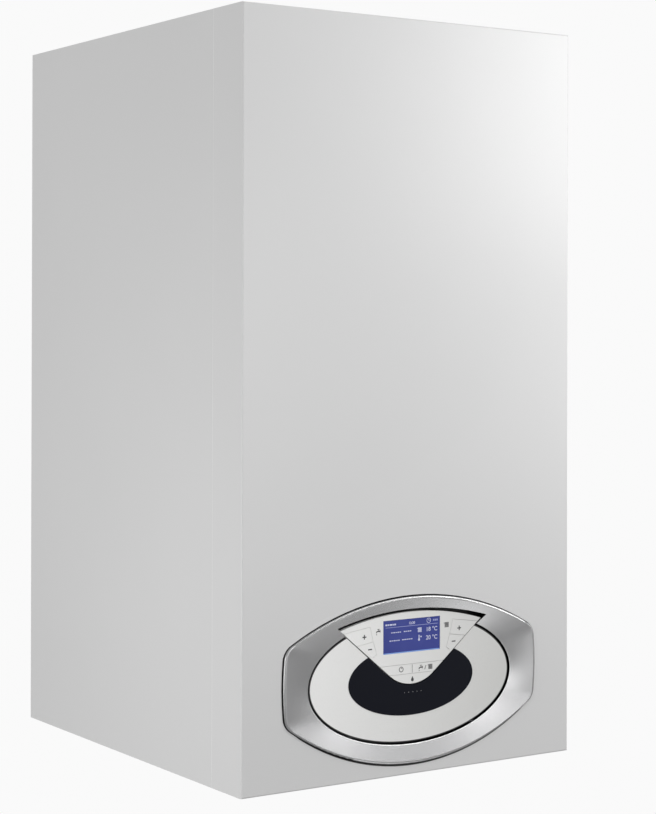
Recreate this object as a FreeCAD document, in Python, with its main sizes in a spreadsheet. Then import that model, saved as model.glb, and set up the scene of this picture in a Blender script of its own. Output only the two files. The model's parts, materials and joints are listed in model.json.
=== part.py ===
import FreeCAD, Part
import math
import os

import Sketcher

# Wall-hung gas boiler in millimetres: X to the right, Y towards the wall, Z up.
# The wall is the plane Y = 0, the casing's lower edge is Z = 0 and X = 0 is the middle.

SIZES = {
    # casing
    "case_width": 480.0,
    "case_height": 900.0,
    "case_depth": 550.0,
    "sheet": 1.2,
    "cover_return": 65.0,
    "cover_bend": 1.8,
    "seam_gap": 0.8,
    "slip_gap": 0.4,
    "lip_depth": 25.0,
    "rear_rim": 22.0,
    "rear_stand_off": 12.0,
    "rear_flange": 18.0,
    "overrun": 5.0,
    "screw_inset": 60.0,
    "screw_radius": 2.5,
    "screw_head_radius": 5.5,
    "screw_head_height": 2.6,
    "screw_length": 5.0,
    "screw_setback": 52.0,
    "slot_clearance": 0.6,
    "insulation_thickness": 8.0,
    "insulation_margin": 18.0,
    "insulation_foot": 250.0,
    # wall fixing
    "bracket_inset": 50.0,
    "bracket_sheet": 2.5,
    "bracket_foot_drop": 110.0,
    "bracket_shelf_drop": 50.0,
    "bracket_lip_height": 12.0,
    "bracket_reach": 8.0,
    "bracket_hole_inset": 30.0,
    "bracket_hole_radius": 4.5,
    "bracket_hole_drop": 85.0,
    "hook_width": 40.0,
    "hook_spacing": 160.0,
    "hook_sheet": 2.5,
    "hook_arm_gap": 2.0,
    # control panel face
    "panel_height": 112.5,
    "bezel_width": 370.0,
    "bezel_height": 198.6,
    "bezel_side": 87.0,
    "bezel_side_lift": 5.5,
    "bezel_bow": 2.7,
    "bezel_corner": 20.0,
    "bezel_gap": 1.6,
    "bezel_proud": 3.0,
    "bezel_rim": 3.4,
    "bezel_rim_round": 2.0,
    "bezel_dish": 5.5,
    "bezel_thickness": 15.0,
    "flap_half_width": 146.5,
    "flap_half_height": 74.5,
    "flap_gap": 2.4,
    "flap_recess": 1.1,
    "flap_thickness": 2.6,
    "flap_pin_drop": 60.0,
    "flap_pin_depth": 1.2,
    "flap_pin_radius": 1.0,
    "flap_pin_length": 16.0,
    "flap_pin_clearance": 0.06,
    "flap_edge_round": 0.6,
    "lens_half_width": 91.6,
    "lens_half_height": 42.8,
    "lens_thickness": 1.5,
    "lens_proud": 0.3,
    "keypad_half_width": 103.5,
    "keypad_shoulder": 65.0,
    "keypad_crown": 80.4,
    "keypad_toe": 5.5,
    "keypad_toe_radius": 50.0,
    "keypad_proud": 0.6,
    "keypad_thickness": 5.0,
    "keypad_flare_share": 1.2,
    "keypad_gap": 1.5,
    "keypad_top_gap": 4.0,
    "key_gap": 0.35,
    "key_thickness": 2.4,
    "key_travel": 1.2,
    "key_rest": 0.2,
    "display_width": 84.0,
    "display_height": 40.0,
    "display_rise": 52.1,
    "display_recess": 0.8,
    "display_glass": 1.5,
    "display_border": 5.0,
    "side_key_outer_top": 59.7,
    "side_key_inner_top": 66.5,
    "side_key_inner_top_x": 61.3,
    "side_key_split_outer": 43.7,
    "side_key_split_outer_x": 90.0,
    "side_key_split_inner": 49.0,
    "side_key_split_inner_x": 56.6,
    "side_key_inner_foot": 33.4,
    "side_key_inner_foot_x": 51.6,
    "side_key_outer_foot": 30.0,
    "side_key_outer_foot_x": 57.1,
    "low_key_top": 17.9,
    "low_key_foot": 6.7,
    # control box
    "box_margin": 6.0,
    "box_foot": 6.0,
    "box_top": 224.0,
    "box_front_setback": 3.0,
    "box_depth": 96.0,
    "box_wall": 2.5,
    "service_setback": 24.0,
    "service_thickness": 3.0,
    "post_radius": 5.0,
    "post_rise": 20.0,
    "knob_radius": 14.0,
    "knob_length": 12.0,
    "knob_drop": 36.0,
    "knob_flute_radius": 1.2,
    "knob_shaft_radius": 3.0,
    "knob_fit": 0.06,
    "knob_lift": 0.4,
    "knob_seat": 8.0,
    "small_key_radius": 6.0,
    "small_key_length": 5.0,
    "small_key_spacing": 110.0,
    "small_key_drop": 28.0,
    "small_key_fit": 0.3,
    "board_width": 300.0,
    "board_height": 150.0,
    "board_thickness": 1.6,
    "board_setback": 60.0,
    "board_post": 8.0,
    "relay_pitch": 50.0,
    "relay_width": 16.0,
    "relay_height": 32.0,
    "relay_rise": 10.0,
    "box_bracket_foot": 70.0,
    "box_bracket_height": 90.0,
    "box_bracket_sheet": 1.5,
    "box_bracket_depth": 30.0,
    "box_bracket_setback": 55.0,
    # heat exchanger and burner
    "drum_radius": 150.0,
    "drum_wall": 3.0,
    "drum_rear": 190.0,
    "drum_setback": 130.0,
    "drum_bead_rise": 3.0,
    "drum_bead_width": 8.0,
    "drum_bead_start": 25.0,
    "drum_flange_radius": 165.0,
    "drum_flange": 4.0,
    "door_radius": 160.0,
    "door_thickness": 9.0,
    "door_dome_radius": 95.0,
    "door_dome": 8.0,
    "door_gasket": 3.0,
    "door_gasket_inner": 138.0,
    "door_nut_circle": 155.0,
    "door_nut_radius": 4.6,
    "door_nut_height": 6.0,
    "door_nut_count": 8.0,
    "burner_radius": 35.0,
    "burner_clearance": 57.0,
    "burner_wall": 1.5,
    "cradle_spread": 90.0,
    "cradle_thickness": 8.0,
    "cradle_drop": 160.0,
    "cradle_setback": 70.0,
    "electrode_radius": 2.0,
    "electrode_length": 60.0,
    "electrode_sleeve_radius": 5.0,
    "electrode_sleeve": 22.0,
    "electrode_spread": 70.0,
    "electrode_pitch": 24.0,
    "electrode_rise": 40.0,
    "transformer_thickness": 26.0,
    "transformer_depth": 60.0,
    "transformer_height": 80.0,
    "transformer_setback": 130.0,
    "transformer_drop": 120.0,
    # fan, mixer and gas
    "fan_x": 50.0,
    "fan_share": 0.625,
    "fan_radius": 72.0,
    "fan_wall": 2.5,
    "fan_depth": 52.0,
    "fan_outlet_width": 44.0,
    "fan_outlet_height": 95.0,
    "fan_inlet_radius": 26.0,
    "impeller_radius": 52.0,
    "impeller_disc": 2.0,
    "impeller_blade_height": 20.0,
    "impeller_blade_inner": 28.0,
    "impeller_blade_thickness": 1.6,
    "impeller_blade_lean": 20.0,
    "impeller_blade_count": 12.0,
    "impeller_hub_radius": 10.0,
    "impeller_clearance": 6.0,
    "shaft_radius": 4.0,
    "shaft_fit": 0.06,
    "motor_radius": 42.0,
    "motor_length": 24.0,
    "motor_plate": 3.0,
    "mixer_radius": 24.0,
    "mixer_wall": 2.5,
    "mixer_bend": 40.0,
    "mixer_run": 6.0,
    "mixer_flange_radius": 34.0,
    "mixer_flange": 5.0,
    "venturi_length": 60.0,
    "venturi_mouth_radius": 38.0,
    "venturi_throat_radius": 20.0,
    "venturi_wall": 3.0,
    "venturi_neck": 14.0,
    "valve_width": 70.0,
    "valve_depth": 60.0,
    "valve_height": 64.0,
    "valve_coil_radius": 16.0,
    "valve_coil_length": 34.0,
    "gas_pipe_radius": 11.0,
    "gas_stub_radius": 13.22,
    # flue
    "flue_setback": 125.0,
    "flue_radius": 39.0,
    "flue_wall": 1.5,
    "socket_radius": 40.6,
    "socket_wall": 1.5,
    "flue_bend": 60.0,
    "flue_port_drop": 60.0,
    "flue_joint_drop": 20.0,
    "collar_rise": 30.0,
    "collar_radius": 62.5,
    "collar_wall": 2.0,
    "collar_flange_radius": 84.0,
    "collar_flange": 3.0,
    "collar_clearance": 0.5,
    "collar_web": 3.0,
    "collar_web_height": 14.0,
    # water side
    "pipe_setback": 260.0,
    "water_pipe_radius": 14.0,
    "water_pipe_wall": 1.5,
    "water_stub_radius": 16.6,
    "stub_length": 22.0,
    "stub_root": 26.0,
    "hole_clearance": 3.0,
    "return_x": 120.0,
    "flow_port_x": 120.0,
    "flow_clearance": 20.0,
    "flow_rise": 120.0,
    "pump_height": 230.0,
    "pump_radius": 46.0,
    "pump_depth": 46.0,
    "pump_port_radius": 20.0,
    "pump_port_reach": 64.0,
    "pump_motor_radius": 40.0,
    "pump_motor_length": 60.0,
    "pump_cap_radius": 30.0,
    "pump_cap_length": 8.0,
    "vent_radius": 13.0,
    "vent_height": 46.0,
    "vent_cap_radius": 6.0,
    "vent_cap_height": 8.0,
    "relief_height": 300.0,
    "relief_radius": 13.0,
    "relief_length": 40.0,
    "relief_outlet_radius": 9.0,
    "relief_outlet_length": 34.0,
    "relief_knob_radius": 17.0,
    "relief_knob_length": 15.0,
    "relief_knob_grip": 3.0,
    "relief_stem_radius": 4.0,
    "relief_fit": 0.06,
    "trap_x": 70.0,
    "trap_setback": 220.0,
    "trap_radius": 32.0,
    "trap_foot": 50.0,
    "trap_top": 230.0,
    "trap_neck_radius": 12.0,
    "trap_cup_radius": 36.0,
    "trap_cup_height": 40.0,
    "hose_radius": 9.0,
    "hose_wall": 2.0,
    "hose_shift": 50.0,
    "hose_bend": 20.0,
    "hose_mid_share": 0.5,
    "gland_radius": 11.0,
    "gland_nut_radius": 15.0,
    "gland_nut_height": 8.0,
    "gland_inset": 70.0,
    "gland_setback": 170.0,
    "gland_bore": 5.0,
}

NEAR = 0.01
AXIS_TURNS = {
    "x": FreeCAD.Rotation(FreeCAD.Vector(0, 1, 0), 90),
    "y": FreeCAD.Rotation(FreeCAD.Vector(1, 0, 0), -90),
    "z": FreeCAD.Rotation(),
    "-x": FreeCAD.Rotation(FreeCAD.Vector(0, 1, 0), -90),
    "-y": FreeCAD.Rotation(FreeCAD.Vector(1, 0, 0), 90),
    "-z": FreeCAD.Rotation(FreeCAD.Vector(1, 0, 0), 180),
}
CLOCKWISE = True
RELAY_COUNT = 5
BEAD_COUNT = 3
ELECTRODE_COUNT = 2
FLUTE_COUNT = 16
GRIP_COUNT = 6


def value_of(number):
    """The plain number of a size."""
    return number.value if isinstance(number, Size) else number


def text_of(number):
    """The sheet expression of a size."""
    return number.text if isinstance(number, Size) else f"({number})"


class Size:
    """A length that keeps its value and the sheet expression it comes from."""

    def __init__(self, value, text):
        self.value = value
        self.text = text

    def __add__(self, other):
        return Size(self.value + value_of(other), f"({self.text} + {text_of(other)})")

    def __sub__(self, other):
        return Size(self.value - value_of(other), f"({self.text} - {text_of(other)})")

    def __mul__(self, other):
        return Size(self.value * value_of(other), f"({self.text} * {text_of(other)})")

    def __truediv__(self, other):
        return Size(self.value / value_of(other), f"({self.text} / {text_of(other)})")

    def __neg__(self):
        return Size(-self.value, f"(0 - {self.text})")


def root_of(size):
    """The square root of a size, as a size."""
    return Size(math.sqrt(size.value), f"sqrt({size.text})")


class SizeTable:
    """The document's sheet of driving sizes, read by name."""

    def __init__(self, document, numbers):
        cells = document.addObject("Spreadsheet::Sheet", "Sizes")
        for row, (alias, number) in enumerate(numbers.items(), start=1):
            cells.set(f"A{row}", alias)
            cells.set(f"B{row}", str(number))
            cells.setAlias(f"B{row}", alias)
        document.recompute()

    def __getattr__(self, alias):
        return Size(SIZES[alias], f"Sizes.{alias}")


DOC = FreeCAD.newDocument("gas_boiler")
S = SizeTable(DOC, SIZES)
ZERO = Size(0, "0")
NODES = {}
SIDES = (("left", -1), ("right", 1))

# places that many pieces share
FRONT = -S.case_depth
SEAM = FRONT + S.cover_return + S.seam_gap
LIP_FRONT = SEAM - S.lip_depth
HALF_WIDTH = S.case_width / 2
INNER_X = HALF_WIDTH - S.sheet
LIP_X = INNER_X - S.slip_gap - S.sheet
REAR_PLATE = -S.rear_stand_off - S.sheet
MID = S.panel_height
BEZEL_FRONT = FRONT - S.bezel_proud
BEZEL_BACK = BEZEL_FRONT + S.bezel_thickness
DISH_LIP = BEZEL_FRONT + S.bezel_dish
FLAP_FRONT = DISH_LIP + S.flap_recess
FLAP_BACK = FLAP_FRONT + S.flap_thickness
FLAP_AXIS_Y = FLAP_FRONT + S.flap_pin_depth
KEYPAD_FRONT = FLAP_FRONT - S.keypad_proud
KEYPAD_BACK = KEYPAD_FRONT + S.keypad_thickness
FLAP_AXIS_Z = MID - S.flap_pin_drop
SERVICE_FRONT = FRONT + S.service_setback
BOX_HALF = S.bezel_width / 2 + S.box_margin
POST_X = (S.flap_half_width + S.flap_gap + S.bezel_width / 2) / 2
SCREW_X = HALF_WIDTH - S.screw_inset
SCREW_Y = FRONT + S.screw_setback
BRACKET_HALF = HALF_WIDTH - S.bracket_inset
BRACKET_SHELF = S.case_height - S.bracket_shelf_drop
DRUM_Z = S.case_height * 2 / 3
DRUM_FRONT = FRONT + S.drum_setback
DRUM_LENGTH = -S.drum_rear - DRUM_FRONT
DOOR_BACK = DRUM_FRONT - S.door_gasket
DOOR_FRONT = DOOR_BACK - S.door_thickness
MIXER_END = DOOR_FRONT - S.door_dome
MIXER_Y = MIXER_END - S.mixer_run - S.mixer_bend
FAN_REAR = MIXER_Y + S.fan_depth / 2
FAN_FRONT = FAN_REAR - S.fan_depth
FAN_Z = DRUM_Z * S.fan_share
GAS_Y = FAN_REAR + S.venturi_length
GAS_TOP = FAN_Z - S.venturi_mouth_radius - S.valve_coil_length
FLUE_JOINT = S.case_height - S.flue_joint_drop
FLUE_Y = -S.flue_setback
PIPE_Y = -S.pipe_setback
FLOW_X = -S.drum_radius - S.flow_clearance
FLOW_BEND = (-S.flow_port_x - FLOW_X) / 2
FLOW_CREST = DRUM_Z + S.flow_rise
TRAP_Y = FRONT + S.trap_setback
GLAND_SPOT = (HALF_WIDTH - S.gland_inset, FRONT + S.gland_setback)
STUB_FOOT = -S.stub_length


def bind(thing, prop, size):
    """Ties one property of an object to the sheet."""
    thing.setExpression(prop, text_of(size))


def place(thing, spot):
    """Ties an object's position to the sheet."""
    for letter, size in zip("xyz", spot):
        bind(thing, f"Placement.Base.{letter}", size)


def block(name, x, y, z):
    """A box between two limits on each axis."""
    made = DOC.addObject("Part::Box", name)
    for prop, (low, high) in zip(("Length", "Width", "Height"), (x, y, z)):
        bind(made, prop, high - low)
    place(made, (x[0], y[0], z[0]))
    return made


def rod(name, axis, spot, radius, length):
    """A cylinder that starts at a spot and runs along an axis."""
    made = DOC.addObject("Part::Cylinder", name)
    made.Placement.Rotation = AXIS_TURNS[axis]
    bind(made, "Radius", radius)
    bind(made, "Height", length)
    place(made, spot)
    return made


def cone(name, axis, spot, radii, length):
    """A cone or a taper that starts at a spot and runs along an axis."""
    made = DOC.addObject("Part::Cone", name)
    made.Placement.Rotation = AXIS_TURNS[axis]
    bind(made, "Radius1", radii[0])
    bind(made, "Radius2", radii[1])
    bind(made, "Height", length)
    place(made, spot)
    return made


def hexagon(name, axis, spot, radius, length):
    """A six-sided bar, for nuts."""
    made = DOC.addObject("Part::Prism", name)
    made.Polygon = 6
    made.Placement.Rotation = AXIS_TURNS[axis]
    bind(made, "Circumradius", radius)
    bind(made, "Height", length)
    place(made, spot)
    return made


def fuse(name, pieces):
    """One solid made of several."""
    made = DOC.addObject("Part::MultiFuse", name)
    made.Shapes = pieces
    made.Refine = True
    return made


def group(name, pieces):
    """Several separate solids under one name."""
    made = DOC.addObject("Part::Compound", name)
    made.Links = pieces
    return made


def cut(name, base, tools):
    """A piece with one or more tools taken out of it."""
    made = DOC.addObject("Part::Cut", name)
    made.Base = base
    made.Tool = tools[0] if len(tools) == 1 else group(f"{name}_tools", tools)
    return made


def common(name, one, other):
    """What two pieces share."""
    made = DOC.addObject("Part::Common", name)
    made.Base = one
    made.Tool = other
    return made


def tube(name, axis, spot, radii, length):
    """A hollow cylinder, given as outer and inner radius."""
    outer = rod(f"{name}_outer", axis, spot, radii[0], length)
    inner = rod(f"{name}_inner", axis, spot, radii[1], length)
    return cut(name, outer, [inner])


def keep(name, made):
    """Notes a finished sub-part under its file name."""
    NODES[name] = made
    return made


def body(name):
    """An empty body for sketches and features."""
    return DOC.addObject("PartDesign::Body", f"{name}_body")


def sketch(owner, plane, level):
    """A sketch on a plane of the body's origin, at a level along the axis across it."""
    made = owner.newObject("Sketcher::SketchObject", f"{owner.Name}_sketch")
    support = next(o for o in owner.Origin.OriginFeatures if o.Role == f"{plane}_Plane")
    made.AttachmentSupport = [(support, "")]
    made.MapMode = "FlatFace"
    bind(made, "AttachmentOffset.Base.z", -level if plane == "XZ" else level)
    return made


def flat_point(corner):
    """A corner's first two sizes as a vector in the sketch."""
    return FreeCAD.Vector(value_of(corner[0]), value_of(corner[1]), 0)


def arc_between(start, end, radius):
    """The shorter anticlockwise arc from one point to another."""
    chord = end - start
    half = chord.Length / 2
    rise = math.sqrt(max(radius * radius - half * half, 0))
    across = FreeCAD.Vector(-chord.y, chord.x, 0).normalize()
    centre = (start + end) / 2 + across * rise
    first = math.atan2(start.y - centre.y, start.x - centre.x)
    last = math.atan2(end.y - centre.y, end.x - centre.x)
    if last < first:
        last += 2 * math.pi
    circle = Part.Circle(centre, FreeCAD.Vector(0, 0, 1), radius)
    return Part.ArcOfCircle(circle, first, last)


def hold(made, kind, places, size):
    """Adds one constraint whose value comes from the sheet."""
    index = made.addConstraint(Sketcher.Constraint(kind, *places, value_of(size)))
    made.setExpression(f"Constraints[{index}]", text_of(size))


def hold_point(made, geometry, end, spot):
    """Ties one point of a sketch to its two sizes."""
    hold(made, "DistanceX", (-1, 1, geometry, end), spot[0])
    hold(made, "DistanceY", (-1, 1, geometry, end), spot[1])


def chain(made, corners, closed=True):
    """Joins corners by lines, or by arcs where a corner also names a radius."""
    ends = []
    for i in range(len(corners) if closed else len(corners) - 1):
        corner = corners[i]
        start = flat_point(corner)
        end = flat_point(corners[(i + 1) % len(corners)])
        turned = len(corner) > 3
        if len(corner) == 2:
            index = made.addGeometry(Part.LineSegment(start, end), False)
        else:
            pair = (end, start) if turned else (start, end)
            index = made.addGeometry(arc_between(*pair, corner[2].value), False)
            hold(made, "Radius", (index,), corner[2])
        ends.append((index, 2, 1) if turned else (index, 1, 2))
    for i, (index, first, last) in enumerate(ends):
        if closed or i + 1 < len(ends):
            follower, its_first, _ = ends[(i + 1) % len(ends)]
            made.addConstraint(Sketcher.Constraint("Coincident", index, last, follower, its_first))
        hold_point(made, index, first, corners[i])
    if not closed:
        hold_point(made, ends[-1][0], ends[-1][2], corners[-1])
    return made


def circle(made, spot, radius):
    """A circle in a sketch."""
    shape = Part.Circle(flat_point(spot), FreeCAD.Vector(0, 0, 1), value_of(radius))
    index = made.addGeometry(shape, False)
    hold_point(made, index, 3, spot)
    hold(made, "Radius", (index,), radius)
    return made


def ellipse(made, spot, half_width, half_height):
    """An upright or lying ellipse in a sketch."""
    middle = flat_point(spot)
    wide = middle + FreeCAD.Vector(half_width.value, 0, 0)
    tall = middle + FreeCAD.Vector(0, half_height.value, 0)
    index = made.addGeometry(Part.Ellipse(wide, tall, middle), False)
    made.exposeInternalGeometry(index)
    hold_point(made, index, 3, spot)
    made.addConstraint(Sketcher.Constraint("Horizontal", index + 1))
    hold(made, "Distance", (index + 1,), half_width * 2)
    hold(made, "Distance", (index + 2,), half_height * 2)
    return made


def rectangle(made, x, y):
    """A rectangle between two limits on each axis of the sketch."""
    return chain(made, [(x[0], y[0]), (x[1], y[0]), (x[1], y[1]), (x[0], y[1])])


def feature(owner, kind, profile, length, turned=False):
    """A pad or pocket of a sketch."""
    made = owner.newObject(f"PartDesign::{kind}", f"{owner.Name}_{kind}")
    made.Profile = profile
    bind(made, "Length", length)
    made.Reversed = turned
    DOC.recompute()
    return made


def pad(owner, profile, length, turned=False):
    """Adds material along the sketch's normal, or against it when turned."""
    return feature(owner, "Pad", profile, length, turned)


def pocket(owner, profile, length, turned=False):
    """Takes material against the sketch's normal, or along it when turned."""
    before = owner.Shape.Volume
    made = feature(owner, "Pocket", profile, length, turned)
    if before - made.Shape.Volume < NEAR:
        raise RuntimeError(f"{made.Name} takes nothing away")
    return made


def plane_edges(shape, letter, level):
    """Names of the edges that lie in a plane across one axis."""
    names = []
    for number, edge in enumerate(shape.Edges, start=1):
        box = edge.BoundBox
        low = getattr(box, f"{letter.upper()}Min")
        high = getattr(box, f"{letter.upper()}Max")
        if abs(low - level.value) < NEAR and abs(high - level.value) < NEAR:
            names.append(f"Edge{number}")
    return names


def soften(owner, edges, radius):
    """Rounds edges of the body's last feature."""
    last = owner.Tip
    made = owner.newObject("PartDesign::Fillet", f"{owner.Name}_round")
    made.Base = (last, edges)
    bind(made, "Radius", radius)
    DOC.recompute()
    return made


def pipe(name, plane, level, corners, profile_plane, profile_level, profile_spot, radii):
    """A hollow pipe swept along a chain of lines and bends."""
    owner = body(name)
    path = chain(sketch(owner, plane, level), corners, closed=False)
    ring = sketch(owner, profile_plane, profile_level)
    for radius in radii:
        circle(ring, profile_spot, radius)
    DOC.recompute()
    made = owner.newObject("PartDesign::AdditivePipe", f"{name}_sweep")
    made.Profile = ring
    made.Spine = (path, [f"Edge{i}" for i in range(1, len(corners))])
    return owner


def rise_radius(half_chord, rise):
    """Radius of the arc with this half chord and rise."""
    return (half_chord * half_chord + rise * rise) / (rise * 2)


def corner_spot(arc_up, near, side_spot, side_up, far):
    """Where a corner round has its centre, between an upper arc and a side arc."""
    up = side_up - arc_up
    apart = math.hypot(side_spot, up)
    along = (near**2 - far**2 + apart**2) / (2 * apart)
    off = math.sqrt(near**2 - along**2)
    return (along * side_spot + off * up) / apart, arc_up + (along * up - off * side_spot) / apart


def barrel_sketch(owner, level, grow):
    """The bezel's outline with bowed sides, grown or shrunk all round."""
    half_width = S.bezel_width / 2 + grow
    half_height = S.bezel_height / 2 + grow
    corner = S.bezel_corner + grow
    lift = S.bezel_side_lift
    half_chord = half_width - S.bezel_bow
    top_radius = rise_radius(half_chord, half_height - S.bezel_side / 2 - lift)
    foot_radius = rise_radius(half_chord, half_height - S.bezel_side / 2 + lift)
    side_radius = rise_radius(S.bezel_side / 2, S.bezel_bow)
    top_spot = half_height - top_radius
    foot_spot = half_height - foot_radius
    side_spot = half_width - side_radius
    made = sketch(owner, "XZ", level)
    mid = MID.value
    side, side_up = side_spot.value, lift.value
    far = side_radius.value - corner.value
    u, w = corner_spot(top_spot.value, top_radius.value - corner.value, side, side_up, far)
    foot_u, foot_w = corner_spot(foot_spot.value, foot_radius.value - corner.value, side, -side_up, far)
    rounds = [
        ((side, side_up), side_radius),
        ((u, w), corner),
        ((0, top_spot.value), top_radius),
        ((-u, w), corner),
        ((-side, side_up), side_radius),
        ((-foot_u, -foot_w), corner),
        ((0, -foot_spot.value), foot_radius),
        ((foot_u, -foot_w), corner),
    ]
    for i, (centre, radius) in enumerate(rounds):
        before, after = rounds[i - 1][0], rounds[(i + 1) % len(rounds)][0]
        angles = []
        for other in (before, after):
            toward = (other[0] - centre[0], other[1] - centre[1])
            if i % 2:
                toward = (-toward[0], -toward[1])
            angles.append(math.atan2(toward[1], toward[0]))
        if angles[1] < angles[0]:
            angles[1] += 2 * math.pi
        spot = FreeCAD.Vector(centre[0], centre[1] + mid, 0)
        ring = Part.Circle(spot, FreeCAD.Vector(0, 0, 1), radius.value)
        made.addGeometry(Part.ArcOfCircle(ring, *angles), False)
    for i in range(len(rounds)):
        follower = (i + 1) % len(rounds)
        made.addConstraint(Sketcher.Constraint("Tangent", i, 2, follower, 1))
        hold(made, "Radius", (i,), rounds[i][1])
    centres = (
        (0, side_spot, MID + lift),
        (4, -side_spot, MID + lift),
        (2, 0, MID + top_spot),
        (6, 0, MID - foot_spot),
    )
    for index, across, up in centres:
        hold_point(made, index, 3, (across, up))
    return made


def barrel(name, grow, front, back):
    """A solid with the bezel's outline."""
    owner = body(name)
    pad(owner, barrel_sketch(owner, back, grow), back - front)
    return owner


def keypad_corners(grow, top_grow):
    """The fan-shaped keypad outline: crowned top, straight sides and a round toe."""
    half = S.keypad_half_width + grow + S.keypad_flare_share * top_grow
    shoulder = MID + S.keypad_shoulder + top_grow
    crown = MID + S.keypad_crown + top_grow
    toe_radius = S.keypad_toe_radius + grow
    toe_centre = MID + S.keypad_toe_radius - S.keypad_toe
    up = shoulder - toe_centre
    square = half * half + up * up
    reach = root_of(square - toe_radius * toe_radius)
    foot_x = toe_radius * (toe_radius * half + reach * up) / square
    foot_z = toe_centre + toe_radius * (toe_radius * up - reach * half) / square
    return [
        (half, shoulder, rise_radius(half, crown - shoulder)),
        (-half, shoulder),
        (-foot_x, foot_z, toe_radius),
        (foot_x, foot_z),
    ]


def keypad_blank(name, grow, top_grow, front, back):
    """A solid with the keypad's outline."""
    owner = body(name)
    outline = chain(sketch(owner, "XZ", back), keypad_corners(grow, top_grow))
    pad(owner, outline, back - front)
    return owner


def oval(name, half_width, half_height, front, back):
    """An elliptical plate centred on the control panel."""
    owner = body(name)
    outline = ellipse(sketch(owner, "XZ", back), (0, MID), half_width, half_height)
    pad(owner, outline, back - front)
    return owner


def front_cover():
    """Folded cover: a front sheet with four returns, the panel cut-out and two screw slots."""
    owner = body("front_cover")
    rear = FRONT + S.cover_return
    outline = rectangle(sketch(owner, "XZ", rear), (-HALF_WIDTH, HALF_WIDTH), (ZERO, S.case_height))
    pad(owner, outline, S.cover_return)
    soften(owner, plane_edges(owner.Shape, "y", FRONT), S.cover_bend)
    rounded = owner.Tip
    rear_faces = [
        f"Face{i}"
        for i, face in enumerate(rounded.Shape.Faces, start=1)
        if face.BoundBox.YMin > rear.value - NEAR
    ]
    shell = owner.newObject("PartDesign::Thickness", "front_cover_shell")
    shell.Base = (rounded, rear_faces)
    bind(shell, "Value", S.sheet)
    shell.Reversed = True
    DOC.recompute()
    slot_half = S.screw_radius + S.slot_clearance
    slots = []
    for name, side in SIDES:
        x = SCREW_X * side
        slots.append(
            block(
                f"cover_slot_{name}",
                (x - slot_half, x + slot_half),
                (SCREW_Y, rear + S.overrun),
                (-S.overrun, S.sheet + S.overrun),
            )
        )
        spot = (x, SCREW_Y, -S.overrun)
        slots.append(rod(f"cover_slot_end_{name}", "z", spot, slot_half, S.sheet + S.overrun * 2))
    slotted = cut("front_cover_slotted", owner, [fuse("cover_slots", slots)])
    opening = barrel("cover_opening", S.bezel_gap, FRONT - S.overrun, FRONT + S.sheet + S.overrun)
    keep("front_cover", cut("front_cover", slotted, [opening]))


def cover_insulation():
    """A foam mat behind the front sheet, above the control panel."""
    half = HALF_WIDTH - S.insulation_margin
    back = FRONT + S.sheet
    z = (S.insulation_foot, S.case_height - S.insulation_margin)
    y = (back, back + S.insulation_thickness)
    keep("cover_insulation", block("cover_insulation", (-half, half), y, z))


def side_panel(name, sign):
    """A folded side with a joggled front lip and a rear flange."""
    owner = body(name)
    skin = sketch(owner, "XY", ZERO)
    outer, inner = HALF_WIDTH * sign, INNER_X * sign
    x = (inner, outer) if sign > 0 else (outer, inner)
    rectangle(skin, x, (SEAM, ZERO))
    pad(owner, skin, S.case_height)
    foot = S.sheet + S.slip_gap
    lip = sketch(owner, "XY", foot)
    lip_in, lip_out = LIP_X * sign, (LIP_X + S.sheet) * sign
    corners = [
        (inner, SEAM),
        (inner, SEAM + S.sheet),
        (lip_in, SEAM + S.sheet),
        (lip_in, LIP_FRONT),
        (lip_out, LIP_FRONT),
        (lip_out, SEAM),
    ]
    chain(lip, corners if sign > 0 else corners[::-1])
    pad(owner, lip, S.case_height - foot * 2)
    flange = sketch(owner, "XY", foot)
    edge = (INNER_X - S.rear_flange) * sign
    x = (edge, inner) if sign > 0 else (inner, edge)
    rectangle(flange, x, (-S.sheet * 2, -S.sheet))
    pad(owner, flange, S.case_height - foot * 2)
    keep(name, owner)


def side_panels():
    """The left and right sides of the casing."""
    for name, sign in SIDES:
        side_panel(f"side_panel_{name}", sign)


def rear_frame():
    """A pressed back with a rim on the wall plane and a raised middle."""
    owner = body("rear_frame")
    rim = sketch(owner, "XZ", ZERO)
    rectangle(rim, (-INNER_X, INNER_X), (ZERO, S.case_height))
    pad(owner, rim, S.sheet)
    half = INNER_X - S.rear_rim
    raised = sketch(owner, "XZ", ZERO)
    rectangle(raised, (-half, half), (S.rear_rim, S.case_height - S.rear_rim))
    pad(owner, raised, -REAR_PLATE)
    inset = S.rear_rim + S.sheet
    hollow = sketch(owner, "XZ", ZERO)
    rectangle(hollow, (S.sheet - half, half - S.sheet), (inset, S.case_height - inset))
    pocket(owner, hollow, S.rear_stand_off, turned=True)
    keep("rear_frame", owner)


def lip_plate(name, low):
    """The top panel or bottom plate: a flat sheet with a joggled front lip."""
    owner = body(name)
    bottom = low.value < S.case_height.value / 2
    sheet = sketch(owner, "XY", low)
    rectangle(sheet, (-INNER_X, INNER_X), (SEAM, -S.sheet))
    pad(owner, sheet, S.sheet)
    lip_low = low + S.sheet + S.slip_gap if bottom else low - S.sheet - S.slip_gap
    half = LIP_X - S.slip_gap
    lip = sketch(owner, "XY", lip_low)
    rectangle(lip, (-half, half), (LIP_FRONT, SEAM + S.sheet))
    pad(owner, lip, S.sheet)
    web_low = low + S.sheet if bottom else lip_low + S.sheet
    web = sketch(owner, "XY", web_low)
    rectangle(web, (-half, half), (SEAM, SEAM + S.sheet))
    pad(owner, web, S.slip_gap)
    return owner


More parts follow.
